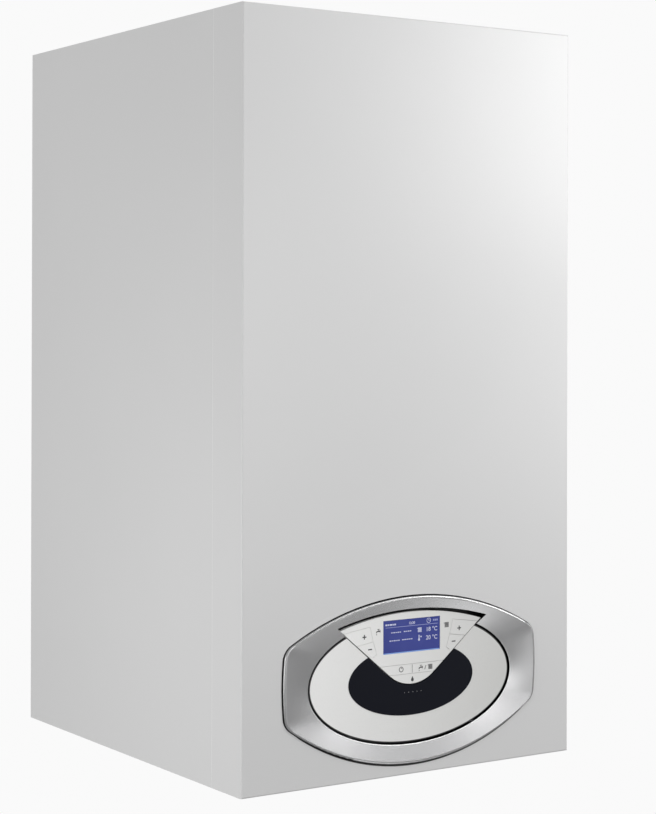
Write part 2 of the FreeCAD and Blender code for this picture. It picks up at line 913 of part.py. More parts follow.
def top_panel():
    """The lid of the casing, with the hole for the flue collar."""
    low = S.case_height - S.sheet
    plate = lip_plate("top_panel", low)
    spot = (ZERO, FLUE_Y, low - S.overrun)
    hole = rod("top_hole", "z", spot, S.collar_radius + S.collar_clearance, S.sheet + S.overrun * 2)
    keep("top_panel", cut("top_panel", plate, [hole]))


def bottom_plate():
    """The casing's floor, with holes for the pipes, the gland and the cover screws."""
    plate = lip_plate("bottom_plate", ZERO)
    reach = S.sheet * 2 + S.slip_gap + S.overrun * 2
    ports = {
        "flow": (FLOW_X, PIPE_Y, S.water_stub_radius + S.hole_clearance),
        "return": (S.return_x, PIPE_Y, S.water_stub_radius + S.hole_clearance),
        "gas": (S.fan_x, GAS_Y, S.gas_stub_radius + S.hole_clearance),
        "trap": (-S.trap_x, TRAP_Y, S.trap_neck_radius + S.hole_clearance),
        "gland": (*GLAND_SPOT, S.gland_radius),
        "screw_left": (-SCREW_X, SCREW_Y, S.screw_radius),
        "screw_right": (SCREW_X, SCREW_Y, S.screw_radius),
    }
    holes = [
        rod(f"floor_hole_{name}", "z", (x, y, -S.overrun), radius, reach)
        for name, (x, y, radius) in ports.items()
    ]
    keep("bottom_plate", cut("bottom_plate", plate, holes))


def wall_bracket():
    """The rail screwed to the wall, with an upturned lip that the hooks drop behind."""
    owner = body("wall_bracket")
    inner = S.bracket_sheet - S.bracket_reach
    foot = S.case_height - S.bracket_foot_drop
    corners = [
        (ZERO, foot),
        (ZERO, BRACKET_SHELF),
        (inner, BRACKET_SHELF),
        (inner, BRACKET_SHELF + S.bracket_lip_height),
        (-S.bracket_reach, BRACKET_SHELF + S.bracket_lip_height),
        (-S.bracket_reach, BRACKET_SHELF - S.bracket_sheet),
        (-S.bracket_sheet, BRACKET_SHELF - S.bracket_sheet),
        (-S.bracket_sheet, foot),
    ]
    pad(owner, chain(sketch(owner, "YZ", -BRACKET_HALF), corners), BRACKET_HALF * 2)
    hole_x = BRACKET_HALF - S.bracket_hole_inset
    hole_z = S.case_height - S.bracket_hole_drop
    holes = []
    for name, side in SIDES:
        spot = (hole_x * side, S.overrun, hole_z)
        length = S.bracket_sheet + S.overrun * 2
        holes.append(rod(f"wall_hole_{name}", "-y", spot, S.bracket_hole_radius, length))
    keep("wall_bracket", cut("wall_bracket", owner, holes))


def hanging_hooks():
    """Two hooks on the back that hang on the wall bracket."""
    hooks = []
    arm = BRACKET_SHELF + S.bracket_lip_height + S.hook_arm_gap
    back = -S.hook_sheet
    for name, side in SIDES:
        owner = body(f"hook_{name}")
        corners = [
            (-S.rear_stand_off, arm),
            (back - S.hook_sheet, arm),
            (back - S.hook_sheet, BRACKET_SHELF),
            (back, BRACKET_SHELF),
            (back, arm + S.hook_sheet),
            (-S.rear_stand_off, arm + S.hook_sheet),
        ]
        start = S.hook_spacing / 2 * side - S.hook_width / 2
        pad(owner, chain(sketch(owner, "YZ", start), corners), S.hook_width)
        hooks.append(owner)
    keep("hanging_hooks", group("hanging_hooks", hooks))


def cover_screws():
    """Two screws that hold the cover from below."""
    screws = []
    for name, side in SIDES:
        spot = (SCREW_X * side, SCREW_Y, ZERO)
        head = rod(f"screw_head_{name}", "-z", spot, S.screw_head_radius, S.screw_head_height)
        shank = rod(f"screw_shank_{name}", "z", spot, S.screw_radius, S.screw_length)
        screws.append(fuse(f"screw_{name}", [head, shank]))
    keep("cover_screws", group("cover_screws", screws))


def cable_gland():
    """The gland for the mains lead: a sleeve through the floor with a nut on each side."""
    nut_low = hexagon("gland_nut_low", "-z", (*GLAND_SPOT, ZERO), S.gland_nut_radius, S.gland_nut_height)
    top = (*GLAND_SPOT, S.sheet)
    nut_high = hexagon("gland_nut_high", "z", top, S.gland_nut_radius, S.gland_nut_height)
    sleeve = rod("gland_sleeve", "z", (*GLAND_SPOT, -S.stub_length), S.gland_radius, S.stub_length * 2)
    bore = rod("gland_bore", "z", (*GLAND_SPOT, -S.stub_length), S.gland_bore, S.stub_length * 2)
    keep("cable_gland", cut("cable_gland", fuse("gland_solid", [sleeve, nut_low, nut_high]), [bore]))


def bezel():
    """The dished frame of the control panel, open in the middle for the flap and the keypad."""
    owner = body("bezel")
    pad(owner, barrel_sketch(owner, BEZEL_BACK, ZERO), S.bezel_thickness)
    soften(owner, plane_edges(owner.Shape, "y", BEZEL_FRONT), S.bezel_rim_round)
    rim = barrel_sketch(owner, BEZEL_FRONT, -S.bezel_rim)
    half_width = S.flap_half_width + S.flap_gap
    half_height = S.flap_half_height + S.flap_gap
    inset = S.flap_edge_round
    lip = ellipse(sketch(owner, "XZ", DISH_LIP), (0, MID), half_width - inset, half_height - inset)
    DOC.recompute()
    dish = owner.newObject("PartDesign::SubtractiveLoft", "bezel_dish")
    dish.Profile = rim
    dish.Sections = [lip]
    dish.Ruled = True
    DOC.recompute()
    hole = ellipse(sketch(owner, "XZ", BEZEL_BACK), (0, MID), half_width, half_height)
    pocket(owner, hole, S.bezel_thickness, turned=True)
    notch = keypad_blank(
        "bezel_notch", S.keypad_gap, S.keypad_top_gap, BEZEL_FRONT - S.overrun, BEZEL_BACK + S.overrun
    )
    holes = [
        flap_pin(f"bezel_pin_hole_{name}", side, S.flap_pin_clearance) for name, side in SIDES
    ]
    keep("bezel", cut("bezel", owner, [fuse("bezel_cuts", [notch, *holes])]))


def flap_pin(name, side, clearance):
    """One of the flap's pivot pins, or the hole for it."""
    share = S.flap_pin_drop / S.flap_half_height
    edge = S.flap_half_width * root_of(-(share * share) + 1)
    start = edge - S.flap_pin_length / 2
    radius = S.flap_pin_radius + clearance
    spot = (start * side, FLAP_AXIS_Y, FLAP_AXIS_Z)
    return rod(name, "x" if side > 0 else "-x", spot, radius, S.flap_pin_length + clearance)


def flap():
    """The oval door of the control panel, notched for the keypad and sunk for the dark lens."""
    plate = oval("flap", S.flap_half_width, S.flap_half_height, FLAP_FRONT, FLAP_BACK)
    soften(plate, plane_edges(plate.Shape, "y", FLAP_FRONT), S.flap_edge_round)
    front, back = FLAP_FRONT - S.overrun, FLAP_BACK + S.overrun
    notch = keypad_blank("flap_notch", S.keypad_gap, S.keypad_top_gap, front, back)
    floor = FLAP_FRONT - S.lens_proud + S.lens_thickness
    seat = oval("lens_seat", S.lens_half_width, S.lens_half_height, front, floor)
    pins = [flap_pin(f"flap_pin_hole_{name}", side, S.flap_pin_clearance) for name, side in SIDES]
    top = block(
        "flap_trim",
        (-S.keypad_half_width, S.keypad_half_width),
        (front, back),
        (MID + S.keypad_shoulder, MID + S.keypad_crown),
    )
    keep("flap", cut("flap", plate, [fuse("flap_cuts", [notch, seat, top, *pins])]))


def flap_lens():
    """The dark oval lens set into the flap."""
    front = FLAP_FRONT - S.lens_proud
    plate = oval("flap_lens", S.lens_half_width, S.lens_half_height, front, front + S.lens_thickness)
    notch = keypad_blank("lens_notch", S.keypad_gap, S.keypad_top_gap, front - S.overrun, FLAP_BACK)
    keep("flap_lens", cut("flap_lens", plate, [notch]))


def flap_pins():
    """Two steel pins that the flap turns on."""
    pins = [flap_pin(f"flap_pin_{name}", side, ZERO) for name, side in SIDES]
    keep("flap_pins", group("flap_pins", pins))


def key_prism(name, corners, grow, front, back):
    """A flat-sided solid over one key, grown towards its neighbours by the gap."""
    owner = body(name)
    middle_x = sum(value_of(x) for x, _ in corners) / len(corners)
    middle_z = sum(value_of(z) for _, z in corners) / len(corners)
    moved = []
    for x, z in corners:
        across = grow if value_of(x) > middle_x else -grow
        up = grow if value_of(z) > middle_z else -grow
        moved.append((across + x, up + z))
    pad(owner, chain(sketch(owner, "XZ", back), moved), back - front)
    return owner


def key_outlines():
    """The corners of each key, out past the keypad's edge where a key runs to it."""
    out = S.keypad_half_width + S.overrun
    half = S.key_gap / 2
    upper = [
        (out, MID + S.side_key_outer_top - S.overrun),
        (out, MID + S.side_key_outer_top),
        (S.side_key_inner_top_x, MID + S.side_key_inner_top),
        (S.side_key_split_inner_x, MID + S.side_key_split_inner + half),
        (S.side_key_split_outer_x, MID + S.side_key_split_outer + half),
    ]
    lower = [
        (S.side_key_split_outer_x, MID + S.side_key_split_outer - half),
        (S.side_key_split_inner_x, MID + S.side_key_split_inner - half),
        (S.side_key_inner_foot_x, MID + S.side_key_inner_foot),
        (S.side_key_outer_foot_x, MID + S.side_key_outer_foot),
    ]
    low = [
        (half, MID + S.low_key_foot),
        (S.keypad_half_width, MID + S.low_key_foot),
        (S.keypad_half_width, MID + S.low_key_top),
        (half, MID + S.low_key_top),
    ]
    outlines = {}
    for node, corners, side in (
        ("key_heat_up", upper, 1),
        ("key_heat_down", lower, 1),
        ("key_mode", low, 1),
        ("key_water_up", upper, -1),
        ("key_water_down", lower, -1),
        ("key_power", low, -1),
    ):
        turned = [(x * side, z) for x, z in corners]
        outlines[node] = turned if side > 0 else turned[::-1]
    return outlines


def keypad():
    """The keypad plate with its window and the six keys that sit in it."""
    plate = keypad_blank("keypad_plate", ZERO, ZERO, KEYPAD_FRONT, KEYPAD_BACK)
    half = S.display_width / 2
    window = block(
        "keypad_window",
        (-half, half),
        (KEYPAD_FRONT - S.overrun, KEYPAD_BACK + S.overrun),
        (MID + S.display_rise - S.display_height / 2, MID + S.display_rise + S.display_height / 2),
    )
    tools = [window]
    for node, corners in key_outlines().items():
        blank = keypad_blank(f"{node}_blank", ZERO, ZERO, KEYPAD_FRONT, KEYPAD_FRONT + S.key_thickness)
        prism = key_prism(f"{node}_prism", corners, ZERO, KEYPAD_FRONT - S.overrun, KEYPAD_BACK)
        keep(node, common(node, blank, prism))
        floor = KEYPAD_FRONT + S.key_thickness + S.key_travel + S.key_rest
        tools.append(key_prism(f"{node}_seat", corners, S.key_gap, KEYPAD_FRONT - S.overrun, floor))
    keep("keypad_plate", cut("keypad_plate", plate, [fuse("keypad_cuts", tools)]))


def display():
    """The glass pane in the keypad and the display module behind it."""
    half = S.display_width / 2
    low = MID + S.display_rise - S.display_height / 2
    high = low + S.display_height
    front = KEYPAD_FRONT + S.display_recess
    glass_back = front + S.display_glass
    keep("display_window", block("display_window", (-half, half), (front, glass_back), (low, high)))
    border = S.display_border
    module_front = KEYPAD_BACK
    stem = block("display_stem", (-half, half), (glass_back, module_front), (low, high))
    case = block(
        "display_case",
        (-half - border, half + border),
        (module_front, SERVICE_FRONT),
        (low - border, high + border),
    )
    keep("display_module", fuse("display_module", [stem, case]))


def control_box():
    """The moulded tray behind the control panel, with posts for the board."""
    half = BOX_HALF
    front = FRONT + S.box_front_setback
    back = front + S.box_depth
    wall = S.box_wall
    outer = block("box_outer", (-half, half), (front, back), (S.box_foot, S.box_top))
    inner = block(
        "box_inner",
        (wall - half, half - wall),
        (front - S.overrun, back - wall),
        (S.box_foot + wall, S.box_top - wall),
    )
    tray = cut("box_tray", outer, [inner])
    posts = []
    for across in (-1, 1):
        for up in (-1, 1):
            x = S.board_width / 2 * across - S.board_post * across
            z = MID + S.board_height / 2 * up - S.board_post * up
            length = back - wall - (FRONT + S.board_setback) - S.board_thickness
            spot = (x, back - wall, z)
            posts.append(rod(f"board_post_{across + 1}_{up + 1}", "-y", spot, S.post_radius, length))
    keep("control_box", fuse("control_box", [tray, *posts]))


def main_board():
    """The control board on its posts, with a few tall parts."""
    half = S.board_width / 2
    low = MID - S.board_height / 2
    front = FRONT + S.board_setback
    y = (front, front + S.board_thickness)
    pieces = [block("board_plate", (-half, half), y, (low, low + S.board_height))]
    span = S.relay_pitch * (RELAY_COUNT - 1)
    for i in range(RELAY_COUNT):
        x = S.relay_pitch * i - span / 2
        across = (x - S.relay_width / 2, x + S.relay_width / 2)
        up = (MID, MID + S.relay_height)
        pieces.append(block(f"board_relay_{i}", across, (front - S.relay_rise, front), up))
    keep("main_board", fuse("main_board", pieces))


def service_panel():
    """The plate behind the flap, with posts for the bezel and seats for the knob and two keys."""
    half = BOX_HALF - S.box_wall
    back = SERVICE_FRONT + S.service_thickness
    z = (S.box_foot + S.box_wall, S.box_top - S.box_wall)
    plate = block("service_plate", (-half, half), (SERVICE_FRONT, back), z)
    posts = []
    for across in (-1, 1):
        for up in (-1, 1):
            spot = (POST_X * across, SERVICE_FRONT, MID + S.post_rise * up)
            length = SERVICE_FRONT - BEZEL_BACK
            posts.append(rod(f"bezel_post_{across + 1}_{up + 1}", "-y", spot, S.post_radius, length))
    shaft_spot = (ZERO, SERVICE_FRONT, MID - S.knob_drop)
    shaft = rod("knob_shaft", "-y", shaft_spot, S.knob_shaft_radius, S.knob_seat)
    solid = fuse("service_solid", [plate, *posts, shaft])
    seats = []
    for name, side in (("back", -1), ("reset", 1)):
        spot = (S.small_key_spacing / 2 * side, back + S.overrun, MID - S.small_key_drop)
        radius = S.small_key_radius + S.small_key_fit
        seats.append(rod(f"seat_{name}", "-y", spot, radius, S.service_thickness + S.overrun * 2))
    keep("service_panel", cut("service_panel", solid, seats))


def menu_knob():
    """The fluted knob behind the flap."""
    back = SERVICE_FRONT - S.knob_lift
    z = MID - S.knob_drop
    spot = (ZERO, back, z)
    barrel_part = rod("knob_barrel", "-y", spot, S.knob_radius, S.knob_length)
    bore_radius = S.knob_shaft_radius + S.knob_fit
    tools = [rod("knob_bore", "-y", spot, bore_radius, S.knob_seat)]
    for i in range(FLUTE_COUNT):
        angle = 2 * math.pi * i / FLUTE_COUNT
        place_at = (S.knob_radius * math.cos(angle), back, z + S.knob_radius * math.sin(angle))
        tools.append(rod(f"knob_flute_{i}", "-y", place_at, S.knob_flute_radius, S.knob_length))
    keep("menu_knob", cut("menu_knob", barrel_part, tools))


def small_keys():
    """The back and reset keys behind the flap."""
    back = SERVICE_FRONT + S.service_thickness
    for name, side in (("back", -1), ("reset", 1)):
        spot = (S.small_key_spacing / 2 * side, back, MID - S.small_key_drop)
        length = S.small_key_length + S.service_thickness
        keep(f"key_{name}", rod(f"key_{name}", "-y", spot, S.small_key_radius, length))


def control_brackets():
    """Two bent brackets that carry the control box on the side panels."""
    pieces = []
    low = S.box_bracket_foot
    high = low + S.box_bracket_height
    front = FRONT + S.box_bracket_setback
    back = front + S.box_bracket_depth
    sheet = S.box_bracket_sheet
    near, far = BOX_HALF, LIP_X
    for name, side in SIDES:
        owner = body(f"control_bracket_{name}")
        corners = [
            (near * side, front),
            (far * side, front),
            (far * side, back),
            ((far - sheet) * side, back),
            ((far - sheet) * side, front + sheet),
            ((near + sheet) * side, front + sheet),
            ((near + sheet) * side, back),
            (near * side, back),
        ]
        profile = chain(sketch(owner, "XY", low), corners if side > 0 else corners[::-1])
        pad(owner, profile, high - low)
        pieces.append(owner)
    keep("control_brackets", group("control_brackets", pieces))


def heat_exchanger():
    """The hollow drum with pressed beads, a front flange and ports for flue, water and drain."""
    rear = -S.drum_rear
    spot = (ZERO, rear, DRUM_Z)
    pieces = [rod("drum_shell", "-y", spot, S.drum_radius, DRUM_LENGTH)]
    pitch = (DRUM_LENGTH - S.drum_bead_start * 2) / (BEAD_COUNT - 1)
    for i in range(BEAD_COUNT):
        y = rear - S.drum_bead_start - pitch * i
        bead = (ZERO, y + S.drum_bead_width / 2, DRUM_Z)
        radius = S.drum_radius + S.drum_bead_rise
        pieces.append(rod(f"drum_bead_{i}", "-y", bead, radius, S.drum_bead_width))
    flange = (ZERO, DRUM_FRONT + S.drum_flange, DRUM_Z)
    pieces.append(rod("drum_flange", "-y", flange, S.drum_flange_radius, S.drum_flange))
    solid = fuse("drum_solid", pieces)
    hollow_spot = (ZERO, rear - S.drum_wall, DRUM_Z)
    hollow = rod("drum_hollow", "-y", hollow_spot, S.drum_radius - S.drum_wall, DRUM_LENGTH)
    port_spot = (ZERO, rear + S.overrun, DRUM_Z - S.flue_port_drop)
    port = rod("drum_flue_port", "-y", port_spot, S.flue_radius, S.drum_wall + S.overrun * 2)
    keep("heat_exchanger", cut("heat_exchanger", solid, [fuse("drum_cuts", [hollow, port])]))


def drum_envelope(name):
    """The drum's outside with its beads, for pieces that seat against it."""
    spot = (ZERO, S.overrun, DRUM_Z)
    return rod(name, "-y", spot, S.drum_radius + S.drum_bead_rise, S.case_depth)


def drum_skin(name):
    """The drum's plain outside, for pipes that end on it."""
    spot = (ZERO, S.overrun, DRUM_Z)
    return rod(name, "-y", spot, S.drum_radius, S.case_depth)


def exchanger_brackets():
    """Two arms on the back that cradle the drum."""
    arms = []
    for name, side in SIDES:
        x = S.cradle_spread * side
        half = S.cradle_thickness / 2
        arm = block(
            f"cradle_{name}_arm",
            (x - half, x + half),
            (DRUM_FRONT + S.cradle_setback, REAR_PLATE),
            (DRUM_Z - S.cradle_drop, DRUM_Z),
        )
        arms.append(cut(f"cradle_{name}", arm, [drum_envelope(f"cradle_{name}_seat")]))
    keep("exchanger_brackets", group("exchanger_brackets", arms))


def burner():
    """The door, its gasket and nuts, and the burner tube on it."""
    z = DRUM_Z
    gasket = tube(
        "door_gasket", "-y", (ZERO, DRUM_FRONT, z), (S.door_radius, S.door_gasket_inner), S.door_gasket
    )
    plate = rod("door_plate", "-y", (ZERO, DOOR_BACK, z), S.door_radius, S.door_thickness)
    radii = (S.door_dome_radius, S.door_dome_radius - S.door_dome)
    dome = cone("door_dome", "-y", (ZERO, DOOR_FRONT, z), radii, S.door_dome)
    reach = S.door_thickness + S.door_dome + S.overrun * 2
    bore = rod("door_bore", "-y", (ZERO, DOOR_BACK + S.overrun, z), S.mixer_radius, reach)
    ports = [bore]
    for i in range(ELECTRODE_COUNT):
        spot = (S.electrode_spread + S.electrode_pitch * i, DOOR_BACK + S.overrun, z + S.electrode_rise)
        ports.append(rod(f"door_port_{i}", "-y", spot, S.electrode_sleeve_radius, reach))
    keep("door_gasket", gasket)
    keep("burner_door", cut("burner_door", fuse("door_solid", [plate, dome]), ports))
    length = DRUM_LENGTH + S.door_gasket - S.burner_clearance - S.drum_wall
    outer = rod("burner_outer", "y", (ZERO, DOOR_BACK, z), S.burner_radius, length)
    inner_length = length - S.burner_wall
    inner = rod("burner_inner", "y", (ZERO, DOOR_BACK, z), S.burner_radius - S.burner_wall, inner_length)
    keep("burner_tube", cut("burner_tube", outer, [inner]))
    nuts = []
    count = int(S.door_nut_count.value)
    for i in range(count):
        angle = 2 * math.pi * (i + 0.5) / count
        circle_radius = S.door_nut_circle - S.door_nut_radius
        spot = (circle_radius * math.cos(angle), DOOR_FRONT, z + circle_radius * math.sin(angle))
        nuts.append(hexagon(f"door_nut_{i}", "-y", spot, S.door_nut_radius, S.door_nut_height))
    keep("door_nuts", group("door_nuts", nuts))


def ignition():
    """Two electrodes through the door and the transformer on the left side."""
    rods = []
    for i in range(ELECTRODE_COUNT):
        x = S.electrode_spread + S.electrode_pitch * i
        z = DRUM_Z + S.electrode_rise
        front = DOOR_FRONT - S.electrode_sleeve
        sleeve_length = DOOR_BACK - front
        sleeve = rod(f"electrode_sleeve_{i}", "y", (x, front, z), S.electrode_sleeve_radius, sleeve_length)
        wire = rod(f"electrode_wire_{i}", "y", (x, DOOR_BACK, z), S.electrode_radius, S.electrode_length)
        rods.append(fuse(f"electrode_{i}", [sleeve, wire]))
    keep("ignition_electrodes", group("ignition_electrodes", rods))
    x = (-INNER_X, S.transformer_thickness - INNER_X)
    front = FRONT + S.transformer_setback
    foot = DRUM_Z - S.transformer_drop
    y = (front, front + S.transformer_depth)
    z = (foot, foot + S.transformer_height)
    keep("ignition_transformer", block("ignition_transformer", x, y, z))


def fan_housing():
    """The volute with a tangential outlet up and a round inlet at the back."""
    wall = S.fan_wall
    spot = (S.fan_x, FAN_REAR, FAN_Z)
    left = S.fan_x - S.fan_radius
    right = left + S.fan_outlet_width
    top = FAN_Z + S.fan_outlet_height
    round_outer = rod("fan_round", "-y", spot, S.fan_radius, S.fan_depth)
    duct_outer = block("fan_duct", (left, right), (FAN_FRONT, FAN_REAR), (FAN_Z, top))
    solid = fuse("fan_solid", [round_outer, duct_outer])
    hollow_spot = (S.fan_x, FAN_REAR - wall, FAN_Z)
    depth = S.fan_depth - wall + S.overrun
    round_inner = rod("fan_round_hollow", "-y", hollow_spot, S.fan_radius - wall, depth)
    duct_inner = block(
        "fan_duct_hollow",
        (left + wall, right - wall),
        (FAN_FRONT + wall, FAN_REAR - wall),
        (FAN_Z, top + S.overrun),
    )
    inlet_spot = (S.fan_x, FAN_REAR + S.overrun, FAN_Z)
    inlet = rod("fan_inlet", "-y", inlet_spot, S.fan_inlet_radius, wall + S.overrun * 2)
    keep("fan_housing", cut("fan_housing", solid, [fuse("fan_cuts", [round_inner, duct_inner, inlet])]))


def fan_impeller():
    """The bladed wheel on the motor's shaft."""
    owner = body("fan_impeller")
    disc = circle(sketch(owner, "XY", ZERO), (ZERO, ZERO), S.impeller_radius)
    pad(owner, disc, S.impeller_disc)
    hub = circle(sketch(owner, "XY", ZERO), (ZERO, ZERO), S.impeller_hub_radius)
    pad(owner, hub, S.impeller_blade_height + S.impeller_disc)
    blade = sketch(owner, "XY", S.impeller_disc)
    tip = root_of(S.impeller_radius * S.impeller_radius - S.impeller_blade_lean * S.impeller_blade_lean)
    inset = tip - S.impeller_blade_thickness
    thick = S.impeller_blade_thickness
    corners = [
        (S.impeller_blade_inner, ZERO),
        (inset, S.impeller_blade_lean),
        (inset, S.impeller_blade_lean + thick),
        (S.impeller_blade_inner, thick),
    ]
    chain(blade, corners)
    first = pad(owner, blade, S.impeller_blade_height)
    ring = owner.newObject("PartDesign::PolarPattern", "impeller_blades")
    ring.Originals = [first]
    axis = next(o for o in owner.Origin.OriginFeatures if o.Role == "Z_Axis")
    ring.Axis = (axis, [""])
    ring.Angle = 360
    ring.setExpression("Occurrences", S.impeller_blade_count.text)
    owner.Tip = ring
    DOC.recompute()
    bore = circle(sketch(owner, "XY", ZERO), (ZERO, ZERO), S.shaft_radius + S.shaft_fit)
    pocket(owner, bore, S.impeller_blade_height + S.impeller_disc, turned=True)
    owner.Placement.Rotation = AXIS_TURNS["y"]
    place(owner, (S.fan_x, FAN_FRONT + S.impeller_clearance, FAN_Z))
    keep("fan_impeller", owner)


def fan_motor():
    """The motor on the front of the fan, with its plate and shaft."""
    spot = (S.fan_x, FAN_FRONT, FAN_Z)
    plate = rod("motor_plate", "-y", spot, S.fan_radius, S.motor_plate)
    can = rod("motor_can", "-y", spot, S.motor_radius, S.motor_length)
    reach = S.impeller_clearance + S.impeller_disc + S.impeller_blade_height
    shaft = rod("motor_shaft", "y", spot, S.shaft_radius, reach)
    keep("fan_motor", fuse("fan_motor", [plate, can, shaft]))


def mixer_elbow():
    """The duct that carries the mixture from the fan up into the burner door."""
    x = S.fan_x - S.fan_radius + S.fan_outlet_width / 2
    y = MIXER_Y
    foot = FAN_Z + S.fan_outlet_height
    bend = S.mixer_bend
    end = MIXER_END
    corners = [
        (y, foot),
        (y, DRUM_Z - bend, bend, CLOCKWISE),
        (y + bend, DRUM_Z),
        (end, DRUM_Z),
    ]
    radii = (S.mixer_radius, S.mixer_radius - S.mixer_wall)
    duct = pipe("mixer", "YZ", ZERO, corners, "XY", foot, (ZERO, y), radii)
    flange_spot = (ZERO, y, foot)
    low_half = S.fan_outlet_width / 2
    plate = block(
        "mixer_foot",
        (x - low_half, ZERO + S.mixer_flange_radius),
        (FAN_FRONT, FAN_REAR),
        (foot, foot + S.mixer_flange),
    )
    flange = tube(
        "mixer_flange",
        "-y",
        (ZERO, end, DRUM_Z),
        (S.mixer_flange_radius, S.mixer_radius - S.mixer_wall),
        S.mixer_flange,
    )
    hole = rod("mixer_foot_hole", "z", flange_spot, S.mixer_radius - S.mixer_wall, S.mixer_flange)
    keep("mixer_elbow", fuse("mixer_elbow", [duct, cut("mixer_foot_plate", plate, [hole]), flange]))


def venturi():
    """The bell-mouthed air inlet behind the fan, where the gas joins."""
    y = FAN_REAR
    spot = (S.fan_x, y, FAN_Z)
    length = S.venturi_length
    wall = S.venturi_wall
    neck = rod("venturi_neck", "y", spot, S.fan_inlet_radius + wall, S.venturi_neck)
    mid_spot = (S.fan_x, y + S.venturi_neck, FAN_Z)
    radii = (S.fan_inlet_radius + wall, S.venturi_mouth_radius)
    bell = cone("venturi_bell", "y", mid_spot, radii, length - S.venturi_neck)
    neck_hole = rod("venturi_neck_hole", "y", spot, S.venturi_throat_radius, S.venturi_neck)
    hole_radii = (S.venturi_throat_radius, S.venturi_mouth_radius - wall)
    bell_hole = cone("venturi_bell_hole", "y", mid_spot, hole_radii, length - S.venturi_neck)
    solid = fuse("venturi_solid", [neck, bell])
    keep("venturi", cut("venturi", solid, [fuse("venturi_hole", [neck_hole, bell_hole])]))


def gas_valve():
    """The gas valve below the venturi, with its coil."""
    half = S.valve_width / 2
    y, top = GAS_Y, GAS_TOP
    back = (y - S.valve_depth / 2, y + S.valve_depth / 2)
    case = block("valve_case", (S.fan_x - half, S.fan_x + half), back, (top - S.valve_height, top))
    coil_spot = (S.fan_x - S.valve_coil_radius, y, top)
    coil = rod("valve_coil", "z", coil_spot, S.valve_coil_radius, S.valve_coil_length / 2)
    arm_spot = (S.fan_x, y - S.valve_depth / 4, top)
    arm = rod("valve_arm", "z", arm_spot, S.gas_pipe_radius, FAN_Z - top)
    reach_spot = (S.fan_x, FAN_REAR, FAN_Z)
    bell_space = rod("valve_bell_space", "y", reach_spot, S.venturi_mouth_radius, S.venturi_length * 2)
    trimmed = cut("valve_arm_trimmed", arm, [bell_space])
    keep("gas_valve", fuse("gas_valve", [case, coil, trimmed]))


def stub_pipe(name, x, y, radii, stub_radius, top):
    """An upright pipe with a threaded stub through the floor."""
    height = top - STUB_FOOT
    outer = rod(f"{name}_outer", "z", (x, y, STUB_FOOT), radii[0], height)
    stub = rod(f"{name}_stub", "z", (x, y, STUB_FOOT), stub_radius, S.stub_length + S.stub_root)
    inner = rod(f"{name}_bore", "z", (x, y, STUB_FOOT), radii[1], height)
    return cut(f"{name}_pipe", fuse(f"{name}_solid", [outer, stub]), [inner])


def gas_pipe():
    """The gas pipe from the floor to the valve."""
    top = GAS_TOP - S.valve_height
    radii = (S.gas_pipe_radius, S.gas_pipe_radius - S.water_pipe_wall)
    keep("gas_pipe", stub_pipe("gas_pipe", S.fan_x, GAS_Y, radii, S.gas_stub_radius, top))


def flue_pipe():
    """The flue pipe from the back of the drum up to the collar."""
    start = -S.drum_rear
    z = DRUM_Z - S.flue_port_drop
    bend = S.flue_bend
    y = FLUE_Y
    corners = [(start, z), (y - bend, z, bend), (y, z + bend), (y, FLUE_JOINT)]
    radii = (S.flue_radius + S.flue_wall, S.flue_radius)
    keep("flue_pipe", pipe("flue_pipe", "YZ", ZERO, corners, "XZ", start, (ZERO, z), radii))


def flue_collar():
    """The collar on the roof: a flue socket inside an air ring, joined by webs."""
    y = FLUE_Y
    low = S.case_height
    reach = S.collar_rise + S.flue_joint_drop
    spot = (ZERO, y, FLUE_JOINT)
    socket = rod("collar_socket", "z", spot, S.socket_radius + S.socket_wall, reach)
    ring_outer = rod("collar_ring", "z", spot, S.collar_radius, reach)
    ring_radius = S.collar_radius - S.collar_wall
    ring_hole = rod("collar_ring_hole", "z", spot, ring_radius, reach)
    flange = rod("collar_flange", "z", (ZERO, y, low), S.collar_flange_radius, S.collar_flange)
    flange_hole = rod("collar_flange_hole", "z", (ZERO, y, low), ring_radius, S.collar_flange)
    half = S.collar_web / 2
    span = S.collar_radius - S.collar_wall / 2
    levels = (FLUE_JOINT, FLUE_JOINT + S.collar_web_height)
    webs = [
        block("collar_web_x", (-span, span), (y - half, y + half), levels),
        block("collar_web_y", (-half, half), (y - span, y + span), levels),
    ]
    air_ring = cut("collar_air_ring", ring_outer, [ring_hole])
    flange_ring = cut("collar_flange_ring", flange, [flange_hole])
    solid = fuse("collar_solid", [socket, air_ring, flange_ring, *webs])
    bore = rod("collar_bore", "z", spot, S.socket_radius, reach)
    keep("flue_collar", cut("flue_collar", solid, [bore]))


def flow_pipe():
    """The flow pipe over the drum's shoulder and down to the floor."""
    y = PIPE_Y
    port, drop = -S.flow_port_x, FLOW_X
    bend = FLOW_BEND
    mid = port - bend
    foot = STUB_FOOT + S.stub_length + S.stub_root
    corners = [
        (port, DRUM_Z),
        (port, FLOW_CREST, bend),
        (mid, FLOW_CREST + bend, bend),
        (drop, FLOW_CREST),
        (drop, foot),
    ]
    radii = (S.water_pipe_radius, S.water_pipe_radius - S.water_pipe_wall)
    swept = pipe("flow_pipe", "XZ", y, corners, "XY", DRUM_Z, (port, y), radii)
    trimmed = cut("flow_trimmed", swept, [drum_skin("flow_seat")])
    stub = stub_pipe("flow", drop, y, radii, S.water_stub_radius, foot)
    keep("flow_pipe", fuse("flow_pipe", [trimmed, stub]))


